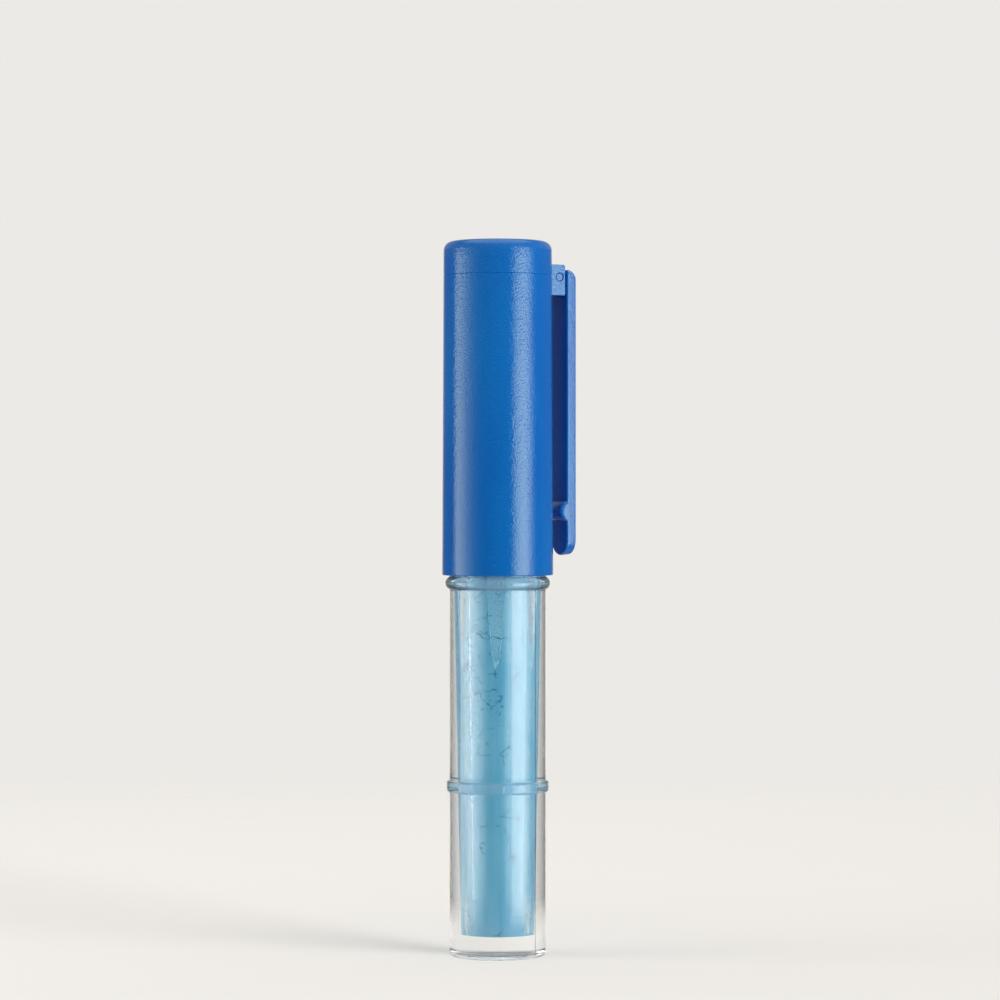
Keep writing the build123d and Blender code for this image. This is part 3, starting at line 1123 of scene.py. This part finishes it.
@dataclass(frozen=True)
class ClipPlace:
    """Where the clip stands: directions out from the cap, along its width, and its hinge."""

    angle_deg: float = 30.0
    width: float = 5.0
    hinge_height: float = 109.4
    hinge_reach: float = 10.164
    trunnion_radius: float = 0.65
    trunnion_clearance: float = 0.05
    lug_thickness: float = 0.75
    lug_wall: float = 0.4
    lug_edge: float = 0.07
    lug_corner: float = 0.35

    def point(self, out: float, along: float, height: float) -> Point:
        """A point given by how far it is out from the axis, along the clip's width and up."""
        a = radians(self.angle_deg)
        return (out * cos(a) - along * sin(a), out * sin(a) + along * cos(a), height)

    def lug_outline(self, root: float, seam: float, far: float, inset: float) -> list[Station]:
        """A lug's outline at one depth, seen along the clip's width.

        Args:
            root: how far from the axis it starts, inside the wall.
            seam: the height of the face that the trunnion's notch is in.
            far: the height of the other face.
            inset: how far the outline is drawn in for the broken edge.

        Returns:
            Points, as reach from the axis and height.
        """
        turn = 1 if far > seam else -1
        hole = self.trunnion_radius + self.trunnion_clearance + inset
        reach = self.hinge_reach + self.trunnion_radius + self.lug_wall
        points = [(root, seam), (self.hinge_reach - hole, seam)]
        for angle in (pi - pi * step / 12 for step in range(1, 12)):
            points.append((self.hinge_reach + hole * cos(angle), seam + turn * hole * sin(angle)))
        points += [(self.hinge_reach + hole, seam), (reach - inset, seam)]
        corner, end = self.lug_corner, far - turn * inset
        for angle in (pi / 2 * step / 6 for step in range(7)):
            out = reach - corner + (corner - inset) * cos(angle)
            points.append((out, end - turn * corner * (1 - sin(angle))))
        return points + [(root, end)]

    def lug(self, side: int, root: float, seam: float, far: float) -> Skin:
        """One lug, notched for a trunnion.

        Args:
            side: -1 or 1, the side of the clip that it stands on.
            root: how far from the axis it starts, inside the wall.
            seam: the height of the face that the notch is in.
            far: the height of the other face.

        Returns:
            Its skin.
        """
        skin, rows = Skin(), []
        outer = side * self.width / 2
        inner = side * (self.width / 2 - self.lug_thickness)
        for along, inset in broken_ends(inner, outer, self.lug_edge):
            outline = self.lug_outline(root, seam, far, inset)
            rows.append(skin.ring([self.point(x, along, z) for x, z in outline]))
        return skin.stack(rows)


@dataclass
class Cap:
    """The push-on cap: a drafted shell with a crown pressed into its top."""

    finishes: Finishes
    clip: ClipPlace = field(default_factory=ClipPlace)
    mouth: float = 61.2
    mouth_radius: float = 8.95
    draft_deg: float = 0.245
    bore_radius: float = 7.81
    step: float = 73.0
    wall: float = 1.4
    lead_in: float = 0.25
    mouth_edge: float = 0.2
    top: float = 114.9
    crown_height: float = 5.5
    crown_edge: float = 1.5
    crown_ceiling: float = 1.4
    spigot_length: float = 3.0
    spigot_wall: float = 1.2
    spigot_gap: float = 0.02
    lug_depth: float = 3.0
    ear_height: float = 2.0
    seam_edge: float = 0.06
    burr_height: float = 0.021
    outer_rings: tuple[float, ...] = (64.0, 72.0, 80.0, 90.0, 100.0, 106.0)
    inner_rings: tuple[float, ...] = (104.0, 96.0, 88.0, 80.0)
    around: int = 240

    @property
    def angles(self) -> list[float]:
        """The angles of the points of each ring."""
        return [FRONT + 2 * pi * n / self.around for n in range(self.around)]

    @property
    def shell_top(self) -> float:
        """The height of the seam between the shell and the crown."""
        return self.top - self.crown_height

    def radius(self, height: float) -> float:
        """The outside radius at a height."""
        return self.mouth_radius - (height - self.mouth) * tan(radians(self.draft_deg))

    def burr(self, angle: float) -> float:
        """How far the mouth's edge is worn or rough at an angle, in millimetres.

        Args:
            angle: the angle round the axis.

        Returns:
            The roughness.
        """
        spot = Vector((3.1 * cos(angle), 3.1 * sin(angle), 0.4))
        rough = noise.fractal(spot * 4.0, 0.8, 2.2, 4)
        return self.burr_height * max(0.0, rough)

    def rows_of(self, skin: Skin, profile: Sequence[Station]) -> list[list[int]]:
        """Rings of a profile turned round the axis."""
        return [skin.ring([polar(r, a, z) for a in self.angles]) for r, z in profile]

    def build_shell(self) -> None:
        """Makes the shell with its lugs and places it."""
        skin, edge, seam = Skin(), self.mouth_edge, self.seam_edge
        outer = arc((self.radius(self.mouth) - edge, self.mouth + edge), edge, -90, 0, 6)
        outer += [(self.radius(height), height) for height in self.outer_rings + (self.shell_top - seam,)]
        top = self.radius(self.shell_top)
        outer.append((top - seam, self.shell_top))
        upper = top - self.wall
        inner = [(upper + 0.1, self.shell_top), (upper, self.shell_top - 0.1)]
        inner += [(self.radius(height) - self.wall, height) for height in self.inner_rings + (self.step,)]
        bore = self.bore_radius
        inner += [(bore, self.step), (bore, 67.0), (bore, self.mouth + self.lead_in)]
        inner.append((bore + self.lead_in, self.mouth))
        rows = self.rows_of(skin, outer + inner)
        for row in rows[1:3]:
            for number, angle in zip(row, self.angles):
                x, y, z = skin.points[number]
                skin.points[number] = (x, y, z + self.burr(angle) * MM)
        skin.bands(rows, looped=True)
        made = skin.piece("cap_shell_moulding", [self.finishes.blue])
        root, seat = self.radius(self.shell_top) - self.wall / 2, self.shell_top
        lugs = [self.clip.lug(side, root, seat, seat - self.lug_depth) for side in (-1, 1)]
        unite(made, [lug.piece("lug_form", [self.finishes.blue]) for lug in lugs])
        place(made, Body.CAP, ["cap_shell"])

    def build_crown(self) -> None:
        """Makes the crown with its ears and places it."""
        skin, edge, seam = Skin(), self.crown_edge, self.seam_edge
        low, top = self.shell_top, self.top
        outer_radius = self.radius(low)
        profile = [(0.5, top - 0.16), (0.62, top - 0.14), (0.75, top - 0.06), (2.0, top - 0.05)]
        profile += [(4.0, top - 0.03), (self.radius(top) - edge - 0.3, top)]
        profile += reversed(arc((self.radius(top - edge) - edge, top - edge), edge, 0, 90, 12))
        profile += [(self.radius(low + 2.5), low + 2.5), (outer_radius, low + seam)]
        profile.append((outer_radius - seam, low))
        spigot = outer_radius - self.wall - self.spigot_gap
        foot = low - self.spigot_length
        profile += [(spigot, low), (spigot, foot + 0.3), (spigot - 0.25, foot)]
        inside = spigot - self.spigot_wall
        ceiling = top - self.crown_ceiling
        profile += [(inside + 0.1, foot), (inside, foot + 0.1), (inside, ceiling - 0.4)]
        profile += [(inside - 0.12, ceiling - 0.12), (inside - 0.4, ceiling)]
        rows = self.rows_of(skin, profile)
        skin.bands(rows)
        skin.fan(rows[0], (0, 0, top - 0.15))
        skin.fan(rows[-1], (0, 0, ceiling))
        made = skin.piece("cap_crown_moulding", [self.finishes.blue])
        root = outer_radius - self.wall / 2
        ears = [self.clip.lug(side, root, low, low + self.ear_height) for side in (-1, 1)]
        unite(made, [ear.piece("ear_form", [self.finishes.blue]) for ear in ears])
        place(made, Body.CAP, ["cap_crown"])

    def build(self) -> None:
        """Makes both parts of the cap."""
        self.build_shell()
        self.build_crown()


@dataclass
class PocketClip:
    """The clip: a flat arm with a round end, a grip pad inside, and a hinged root."""

    finishes: Finishes
    stand: ClipPlace = field(default_factory=ClipPlace)
    inner: float = 11.5
    thickness: float = 1.85
    bottom: float = 64.3
    top: float = 110.65
    top_radius: float = 1.8
    edge: float = 0.25
    inner_edge: float = 0.4
    draft_deg: float = 4.0
    pad_height: float = 71.5
    pad_length: float = 3.2
    pad_depth: float = 1.1
    knuckle_radius: float = 1.25
    knuckle_gap: float = 0.1
    trunnion_gap: float = 0.1
    hinge_edge: float = 0.1
    trunnion_edge: float = 0.08
    end_height: float = 1.2
    pad_fade: float = 0.5
    side_rings: tuple[float, ...] = (76.0, 84.0, 92.0, 100.0, 106.0)
    across: int = 10

    def pad(self, height: float) -> float:
        """How far the grip pad stands in from the arm at a height.

        Args:
            height: the height.

        Returns:
            The distance.
        """
        half, deep = self.pad_length / 2, self.pad_depth
        bow = (half**2 + deep**2) / (2 * deep)
        away = abs(height - self.pad_height)
        return max(0.0, sqrt(max(0.0, bow**2 - away**2)) - (bow - deep)) if away < half else 0.0

    def heights(self) -> list[float]:
        """Heights for points down the straight sides, crowded on the pad.

        Returns:
            The heights, rising.
        """
        start, half = self.bottom + self.stand.width / 2, self.pad_length / 2
        pads = [self.pad_height + half * (s / 8 - 1) for s in range(17)]
        return sorted({start} | set(pads) | set(self.side_rings))

    def outline(self, out: float, inset: float) -> list[Station]:
        """The arm's outline seen from outside, at one depth.

        Args:
            out: how far from the axis this depth is.
            inset: how far the outline is drawn in for the rounded edge.

        Returns:
            Points along the width and height, up the right side and down the left.
        """
        half = self.stand.width / 2
        radius = half - inset
        over = max(0.0, out - (self.inner + self.thickness - self.top_radius))
        limit = self.top - self.top_radius + sqrt(max(0.0, self.top_radius**2 - over**2)) - inset
        heights = self.heights() + [limit - self.end_height * (1 - s / 4) for s in range(5)]
        sides = [(radius, z) for z in heights] + [(-radius, z) for z in reversed(heights)]
        return sides + arc((0.0, self.bottom + half), radius, 180, 360, 2 * self.across)[1:-1]

    def build_arm(self, skin: Skin) -> None:
        """Adds the arm to a skin.

        Args:
            skin: the skin.
        """
        outer, edge = self.inner + self.thickness, self.edge
        first = self.inner_edge
        depths = []
        for turn in (radians(angle) for angle in (90, 72, 54, 36, 18)):
            depths.append((self.inner + first * (1 - sin(turn)), first * (1 - cos(turn))))
        low = outer - self.top_radius + 0.45
        depths += [(low + (outer - edge - low) * s / 8, 0.0) for s in range(9)]
        for turn in (radians(angle) for angle in (20, 40, 60, 75, 90)):
            depths.append((outer - edge + edge * sin(turn), edge * (1 - cos(turn))))
        rows = []
        slope = tan(radians(self.draft_deg))
        for out, drawn in depths:
            outline = self.outline(out, drawn + (out - self.inner) * slope)
            reach = max(0.0, 1 - (out - self.inner) / self.pad_fade)
            rows.append(skin.ring([self.stand.point(out - self.pad(z) * reach, y, z) for y, z in outline]))
        skin.bands(rows)
        skin.lid(rows[-1])
        self.close_inside(skin, rows[0])

    def close_inside(self, skin: Skin, row: list[int]) -> None:
        """Closes the inner face with strips across, so that it follows the pad.

        Args:
            skin: the skin.
            row: the arm's innermost ring.
        """
        side = len(self.heights()) + 5
        right, left = row[:side], row[side:2 * side][::-1]
        for here in range(side - 1):
            skin.lid((right[here], right[here + 1], left[here + 1], left[here]))
        skin.lid([left[0]] + row[2 * side:] + [right[0]])

    def rod(self, radius: float, half: float, edge: float) -> Skin:
        """A round bar on the hinge's axis, with broken edges.

        Args:
            radius: its radius.
            half: half its length.
            edge: how wide its edges are broken.

        Returns:
            Its skin.
        """
        skin, rows = Skin(), []
        hinge = (self.stand.hinge_reach, self.stand.hinge_height)
        for along, inset in broken_ends(-half, half, edge):
            circle = arc(hinge, radius - inset, 0, 360, 48)[:-1]
            rows.append(skin.ring([self.stand.point(x, along, z) for x, z in circle]))
        return skin.stack(rows)

    def bridge(self, half: float) -> Skin:
        """The block that joins the hinge's bar to the arm.

        Args:
            half: half its length.

        Returns:
            Its skin.
        """
        skin, edge, height, r = Skin(), self.hinge_edge, self.stand.hinge_height, self.knuckle_radius
        near, far = self.stand.hinge_reach, self.inner + 0.25
        rows = []
        for along, inset in broken_ends(-half, half, edge):
            low, high = height - r + edge + inset, height + r - edge - inset
            corners = ((near, low), (far, low), (far, high), (near, high))
            rows.append(skin.ring([self.stand.point(x, along, z) for x, z in corners]))
        return skin.stack(rows)

    def build(self) -> None:
        """Makes the clip and places it."""
        skin = Skin()
        self.build_arm(skin)
        made = skin.piece("pocket_clip_moulding", [self.finishes.blue])
        half = self.stand.width / 2 - self.stand.lug_thickness - self.knuckle_gap
        forms = [self.bridge(half), self.rod(self.knuckle_radius, half, self.hinge_edge)]
        reach = self.stand.width / 2 - self.trunnion_gap
        forms.append(self.rod(self.stand.trunnion_radius, reach, self.trunnion_edge))
        unite(made, [form.piece("hinge_form", [self.finishes.blue]) for form in forms])
        place(made, Body.CLIP, ["pocket_clip"])


# Fork, wheel and axle


def turned(stations: Sequence[Station], height: float, steps: int) -> Skin:
    """A form turned round an axis that runs front to back.

    Args:
        stations: its profile, as radius and place along Y, from the front to the back.
        height: the height of the axis.
        steps: how many points each row has.

    Returns:
        Its skin.
    """
    skin, rows = Skin(), []
    for radius, along in stations:
        turns = [2 * pi * n / steps for n in range(steps)]
        rows.append(skin.ring([(radius * cos(a), along, height + radius * sin(a)) for a in turns]))
    return skin.stack(rows)


@dataclass
class Fork:
    """The two halves of the fork, closed on each other round the wheel and its feed channel."""

    finishes: Finishes
    root_radius: float = 3.38
    socket_bottom: float = 77.5
    base: float = 85.5
    base_half_width: float = 4.85
    base_half_thickness: float = 3.38
    flare_top: float = 92.5
    half_thickness: float = 1.75
    wheel_height: float = 96.5
    half_width: float = 4.7
    tip: float = 99.55
    tip_half_width: float = 2.6
    tip_radius: float = 5.3
    pocket_radius: float = 4.1
    slot_half_width: float = 0.45
    channel_half_width: float = 2.2
    axle_hole: float = 0.5
    bevel: float = 0.1
    squareness: int = 30
    side_shares: tuple[float, ...] = (0, 0.2, 0.4, 0.6, 0.75, 0.85, 0.92, 0.97, 1)
    face_shares: tuple[float, ...] = (0.02, 0.06, 0.12, 0.2, 0.3, 0.42, 0.56, 0.7, 0.85, 1)
    bill_rings: tuple[float, ...] = (87.0, 89.0, 91.0, 92.5, 94.0, 95.4, 96.5, 97.6, 98.6, 99.55)

    def limits(self, height: float) -> tuple[float, float, float]:
        """The half width, the thickness and the round limit of the bill at a height.

        Args:
            height: the height.

        Returns:
            The three measures.
        """
        rise = (height - self.base) / (self.tip - self.base)
        rounded = self.base_half_width + (self.tip_radius - self.base_half_width) * rise
        if height < self.wheel_height:
            share = (height - self.base) / (self.wheel_height - self.base)
            width = self.base_half_width + (self.half_width - self.base_half_width) * share
        else:
            share = (height - self.wheel_height) / (self.tip - self.wheel_height)
            width = self.half_width + (self.tip_half_width - self.half_width) * share
        share = min(1.0, (height - self.base) / (self.flare_top - self.base))
        thickness = self.base_half_thickness + (self.half_thickness - self.base_half_thickness) * share
        return width, thickness, rounded

    def outline(self, side: int, height: float, root: bool) -> list[Point]:
        """One half's outline at a height.

        Args:
            side: -1 for the front half and 1 for the back half.
            height: the height.
            root: whether it is the round root in the plug's socket.

        Returns:
            The points, from one end of the inner face round the outside to the other.
        """
        width, thickness, rounded = self.limits(max(height, self.base))
        corner = atan2(thickness, width)
        turns = [corner * share for share in self.side_shares]
        turns += [corner + (pi / 2 - corner) * share for share in self.face_shares]
        turns += [pi - turn for turn in reversed(turns[:-1])]
        points, n = [], self.squareness
        for turn in turns:
            reach = self.root_radius
            if not root:
                crowd = (abs(cos(turn)) / width) ** n + (sin(turn) / thickness) ** n + (1 / rounded) ** n
                reach = crowd ** (-1 / n)
            points.append((reach * cos(turn), side * reach * sin(turn), height))
        return points

    def cutters(self) -> list[bpy.types.Object]:
        """The forms of the wheel's pocket, the feed channel and the axle's hole.

        Returns:
            The forms, each to be cut out of a half.
        """
        slot = self.slot_half_width
        pocket = turned([(self.pocket_radius, -slot), (self.pocket_radius, slot)], self.wheel_height, 128)
        channel = Skin()
        wide = self.channel_half_width
        rows = []
        for x in (-wide, wide):
            low, high = self.socket_bottom - 0.5, self.wheel_height
            spread = wide + 0.5 * (wide - slot) / (high - self.socket_bottom)
            corners = ((-spread, low), (spread, low), (slot, high), (-slot, high))
            rows.append(channel.ring([(x, y, z) for y, z in corners]))
        channel.stack(rows)
        out, r = self.half_thickness, self.axle_hole
        stations = [(r + 0.32, -out - 0.1), (r, -out + 0.22), (r, out - 0.22), (r + 0.32, out + 0.1)]
        hole = turned(stations, self.wheel_height, 40)
        forms = (("pocket_form", pocket), ("channel_form", channel), ("axle_form", hole))
        return [skin.piece(name, [self.finishes.blue]) for name, skin in forms]

    def build_half(self, side: int, name: str, node: str) -> None:
        """Makes one half and places it.

        Args:
            side: -1 for the front half and 1 for the back half.
            name: the name of the piece.
            node: the CAD node that it replaces.
        """
        skin, base = Skin(), self.base
        rows = [skin.ring(self.outline(side, z, True)) for z in (self.socket_bottom, 81.0, base)]
        rows += [skin.ring(self.outline(side, z, False)) for z in (base + 0.001,) + self.bill_rings]
        made = skin.stack(rows).piece(name, [self.finishes.blue])
        unite(made, [], self.cutters(), self.bevel)
        place(made, Body.NOSE, [node])

    def build(self) -> None:
        """Makes both halves."""
        self.build_half(-1, "fork_front_moulding", "fork_front")
        self.build_half(1, "fork_back_moulding", "fork_back")


@dataclass
class Wheel:
    """The toothed marking wheel on its hub."""

    finishes: Finishes
    height: float = 96.5
    radius: float = 3.75
    tooth_depth: float = 0.3
    teeth: int = 40
    half_thickness: float = 0.25
    hub_radius: float = 1.3
    hub_half_length: float = 0.42
    hole: float = 0.53
    edge: float = 0.05
    per_tooth: int = 8
    groove: Range = (2.62, 2.95)
    groove_depth: float = 0.04
    groove_slope: float = 0.07
    hub_fillet: float = 0.06

    def row(self, skin: Skin, radius: float, along: float) -> list[int]:
        """A ring of the wheel, toothed beyond the roots of the teeth.

        Args:
            skin: the skin that it is added to.
            radius: its radius.
            along: its place along Y.

        Returns:
            The numbers of its points.
        """
        points = []
        root = self.radius - self.tooth_depth
        for step in range(self.teeth * self.per_tooth):
            turn = 2 * pi * step / (self.teeth * self.per_tooth)
            reach = radius
            if radius > root:
                away = abs((step / self.per_tooth + 0.5) % 1 - 0.5) * 2
                cut = self.tooth_depth * min(1.0, max(0.0, away * 1.12 - 0.06))
                reach = max(root - self.edge, radius - cut)
            points.append((reach * cos(turn), along, self.height + reach * sin(turn)))
        return skin.ring(points)

    def build(self) -> None:
        """Makes the wheel and places it."""
        half, hub, edge = self.half_thickness, self.hub_half_length, self.edge
        side = [(self.hole + edge, hub), (self.hub_radius - edge, hub), (self.hub_radius, hub - edge)]
        near, far = self.groove
        slope, floor = self.groove_slope, half - self.groove_depth
        side += [(self.hub_radius, half + 0.04), (self.hub_radius + self.hub_fillet, half)]
        side += [(near - slope, half), (near, floor), (far, floor), (far + slope, half), (3.35, half)]
        side += [(self.radius - 2 * edge, half - 0.02), (self.radius, half - 2 * edge)]
        hole = [(self.hole, edge - hub), (self.hole, hub - edge)]
        skin = Skin()
        profile = hole + side + [(radius, -along) for radius, along in reversed(side)]
        skin.bands([self.row(skin, radius, along) for radius, along in profile], looped=True)
        made = skin.piece("marking_wheel_disc", [self.finishes.wheel])
        place(made, Body.WHEEL, ["marking_wheel"])


@dataclass
class Axle:
    """The pin that the wheel runs on, with rounded ends."""

    finishes: Finishes
    height: float = 96.5
    radius: float = 0.49
    half_length: float = 1.65
    crown: float = 0.1
    crease_deg: float = 40.0
    around: int = 48

    def build(self) -> None:
        """Makes the pin and places it."""
        end, r = self.half_length, self.radius
        rounded = [(r * 0.45, end), (r * 0.75, end - self.crown * 0.35), (r * 0.93, end - self.crown)]
        rounded += [(r, end - 2 * self.crown)]
        pin = turned([(a, -b) for a, b in rounded] + list(reversed(rounded)), self.height, self.around)
        made = pin.piece("axle_pin", [self.finishes.steel], self.crease_deg)
        place(made, Body.NOSE, ["wheel_axle"])


# Studio


@dataclass(frozen=True)
class Studio:
    """A plain pale room: two tall soft boxes beside the front, a soft light above and a pale wall behind.

    A box is a row of directions in degrees from the front, each with how bright it is there. The inner boxes
    are what light mirrored inside the clear plastic meets.
    """

    pale: Colour = (0.84, 0.82, 0.79, 1)
    left_box: tuple[Station, ...] = (
        (-98.5, 3.6), (-90, 3.7), (-80, 3.3), (-70, 2.1), (-60, 1.15), (-50, 0.5), (-41, 0.22), (-33, 0.1),
    )
    right_box: tuple[Station, ...] = ((34, 2.6), (38.5, 3.9), (47, 5.2), (56.5, 6.4), (66, 4.8), (76, 1.9))
    inner_boxes: tuple[Station, ...] = (
        (-168, 0.35), (-150, 0.35), (-138, 0.7), (-129, 2.4), (-120, 4.4), (-95, 4.4), (-80, 3.9),
        (-64, 3.0), (-50, 1.4), (-38, 0.25), (-30, 0.05), (20, 0.05), (31, 1.8), (39, 3.0), (55, 3.2),
        (70, 2.7), (88, 2.3), (104, 2.5), (117, 2.6), (127, 1.2), (140, 0.5), (168, 0.35),
    )
    wall: float = 0.75
    dim: float = 0.12
    front: float = 0.05
    overhead: float = 1.2
    fill: float = 0.25
    box_top_deg: float = 30.0
    box_fade_deg: float = 10.0
    overhead_deg: Range = (45.0, 60.0)
    behind_deg: Range = (84.0, 142.0)
    past_box_deg: Range = (92.0, 96.0)
    plain_tone: Colour = (1, 0.99, 0.975, 1)
    mirror_top_deg: Range = (5.0, 8.5)
    mirror_above: float = 0.4
    through: float = 0.66
    least_through: float = 0.22
    steep_through: float = 0.4
    warmth: Colour = (1, 0.955, 0.82, 1)
    floor_rings: tuple[float, ...] = (30, 60, 90, 130, 180, 240, 320, 400, 500)
    floor_steps: int = 96
    floor_mirror: Range = (0.03, 0.09)
    floor_fade: Range = (0.12, 0.45)
    camera_distance: float = 0.58
    camera_side: float = 0.00037
    camera_height: float = 0.0733
    view_width: float = 0.16103

    def room(self) -> list[Station]:
        """Directions in degrees from the front, and how bright the room is there.

        Returns:
            The stops, in rising order.
        """
        stops = [(-180, self.wall), (-168, self.wall), (-152, self.dim), (-103, self.dim)]
        stops += list(self.left_box) + [(-20, self.front), (32.5, self.front)] + list(self.right_box)
        return stops + [(84, self.dim), (152, self.dim), (168, self.wall), (180, self.wall)]

    def panorama(self, sheet: NodeSheet, turn: Socket, stops: Sequence[Station]) -> Socket:
        """A brightness that changes with the direction round the pen.

        Args:
            sheet: the world's nodes.
            turn: the direction in turns, 0 at the front, rising from the left to the right.
            stops: directions in degrees from the front, and how bright it is there.

        Returns:
            The brightness.
        """
        strongest = max(value for _, value in stops)
        ramp = sheet.add("ValToRGB", {0: sheet.math("ADD", turn, 0.5)})
        marks = ramp.color_ramp.elements
        while len(marks) < len(stops):
            marks.new(0.5)
        for mark, (angle, value) in zip(marks, stops):
            share = value / strongest
            mark.position = (angle + 180) / 360
            mark.color = (share, share, share, 1)
        return sheet.times(ramp.outputs[0], strongest)

    def around(self, sheet: NodeSheet, turn: Socket, path: bpy.types.bpy_prop_collection) -> Socket:
        """How bright the room is by the direction round the pen, for each kind of ray.

        Light that passes the clear plastic meets the open wall behind and no soft box that stands further
        round than past_box_deg. Light mirrored inside the plastic before meets the inner boxes instead.

        Args:
            sheet: the world's nodes.
            turn: the direction in turns, 0 at the front, rising from the left to the right.
            path: the values that tell the kinds of ray apart.

        Returns:
            The brightness.
        """
        aside = sheet.math("ABSOLUTE", turn)
        behind = sheet.ramp(aside, *(angle / 360 for angle in self.behind_deg), (0, self.through))
        matt = sheet.math("SUBTRACT", 1.0, path["Is Glossy Ray"])
        open_wall = sheet.times(behind, sheet.math("MAXIMUM", matt, path["Is Transmission Ray"]))
        past_box = sheet.ramp(aside, *(angle / 360 for angle in self.past_box_deg))
        past_box = sheet.times(past_box, path["Is Transmission Ray"])
        level = self.panorama(sheet, turn, self.room())
        level = sheet.times(level, sheet.math("SUBTRACT", 1.0, past_box))
        level = sheet.math("MAXIMUM", level, open_wall)
        least = sheet.times(path["Is Transmission Ray"], self.least_through)
        level = sheet.math("MAXIMUM", level, least)
        bounced = sheet.math("MINIMUM", path["Glossy Depth"], 1.0)
        off_powder = sheet.times(bounced, path["Is Transmission Ray"])
        return sheet.mix(off_powder, level, self.panorama(sheet, turn, self.inner_boxes))

    def light(self) -> None:
        """Makes the world: lamps are soft boxes in it, and the camera sees it plain and pale."""
        world = bpy.data.worlds.new("plain_studio")
        world.use_nodes = True
        bpy.context.scene.world = world
        sheet = NodeSheet(world.node_tree)
        way = sheet.add("SeparateXYZ", {0: sheet.add("TexCoord").outputs["Generated"]}).outputs
        path = sheet.add("LightPath").outputs
        back = sheet.times(way["Y"], -1.0)
        turn = sheet.math("DIVIDE", sheet.math("ARCTAN2", way["X"], back), 2 * pi)
        level = self.around(sheet, turn, path)
        rise = sheet.times(sheet.math("ARCSINE", way["Z"]), 180 / pi)
        steep = sheet.math("ABSOLUTE", rise)
        mirrored = sheet.math("SUBTRACT", path["Is Glossy Ray"], path["Is Transmission Ray"])
        over_boxes = sheet.times(mirrored, sheet.ramp(rise, *self.mirror_top_deg))
        level = sheet.mix(over_boxes, level, self.mirror_above)
        ends = (self.box_top_deg, self.box_top_deg + self.box_fade_deg)
        within = sheet.ramp(steep, *ends, (1, 0))
        above = sheet.ramp(rise, *self.overhead_deg, (0, self.overhead))
        fill = sheet.math("ADD", sheet.times(path["Is Transmission Ray"], self.steep_through), self.fill)
        rest = sheet.times(sheet.ramp(steep, *ends), fill)
        total = sheet.math("ADD", sheet.times(level, within), sheet.math("ADD", above, rest))
        tone = sheet.blend(mirrored, self.plain_tone, self.warmth)
        lit = sheet.add("Background", {"Color": tone, "Strength": total}).outputs[0]
        seen = sheet.add("Background", {"Color": self.pale, "Strength": 1.0}).outputs[0]
        mixed = sheet.add("MixShader", {0: path["Is Camera Ray"], 1: lit, 2: seen}).outputs[0]
        sheet.add("OutputWorld", {"Surface": mixed})

    def floor(self) -> None:
        """Makes the pale floor, which fades into the room away from the pen."""
        skin = Skin()
        angles = [2 * pi * n / self.floor_steps for n in range(self.floor_steps)]
        rows = [skin.ring([polar(radius, angle, 0) for angle in angles]) for radius in self.floor_rings]
        skin.bands(rows)
        skin.fan(rows[0], (0, 0, 0))
        material, sheet = new_material("pale_floor")
        away = sheet.add("VectorMath", {0: sheet.place_in_pen()}, operation="LENGTH").outputs["Value"]
        path = sheet.add("LightPath").outputs
        mirrored = sheet.ramp(away, *self.floor_mirror)
        plain = sheet.ramp(away, *self.floor_fade)
        mirror_ray = sheet.math("MAXIMUM", path["Is Glossy Ray"], path["Is Transmission Ray"])
        gone = sheet.math("MAXIMUM", plain, sheet.times(mirrored, mirror_ray))
        tone = sheet.blend(sheet.grain(60, 3), self.pale, tuple(c * 0.985 for c in self.pale[:3]) + (1,))
        matt = sheet.add("BsdfDiffuse", {"Color": tone, "Roughness": 0.8}).outputs[0]
        clear = sheet.add("BsdfTransparent").outputs[0]
        sheet.close(sheet.add("MixShader", {0: gone, 1: matt, 2: clear}).outputs[0])
        made = skin.piece("studio_floor", [material])
        made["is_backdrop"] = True

    def camera(self) -> None:
        """Makes the camera, level with the cap's lower half and square to the front."""
        data = bpy.data.cameras.new("camera")
        data.sensor_width = 36.0
        data.lens = data.sensor_width * self.camera_distance / self.view_width
        data.clip_start, data.clip_end = 0.01, 20.0
        seat = bpy.data.objects.new("camera", data)
        seat.location = (self.camera_side, -self.camera_distance, self.camera_height)
        seat.rotation_euler = (pi / 2, 0, 0)
        bpy.context.scene.collection.objects.link(seat)
        bpy.context.scene.camera = seat

    def build(self) -> None:
        """Sets up the room, the floor and the camera, and the plain view transform."""
        self.light()
        self.floor()
        self.camera()
        bpy.context.scene.view_settings.view_transform = "Standard"


def corners() -> list[list[float]]:
    """The lowest and highest corner of what is shown, as plain lists."""
    return [list(corner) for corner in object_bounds()]


def main() -> None:
    """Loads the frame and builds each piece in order."""
    logging.basicConfig(level=logging.INFO, format="%(message)s")
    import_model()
    finishes = Finishes.make()
    barrel = Barrel(finishes)
    barrel.build()
    Filling(finishes, barrel).build()
    NosePlug(finishes).build()
    Cap(finishes).build()
    PocketClip(finishes).build()
    Fork(finishes).build()
    Wheel(finishes).build()
    Axle(finishes).build()
    Studio().build()
    log.info("boxes written")


if __name__ == "__main__":
    main()
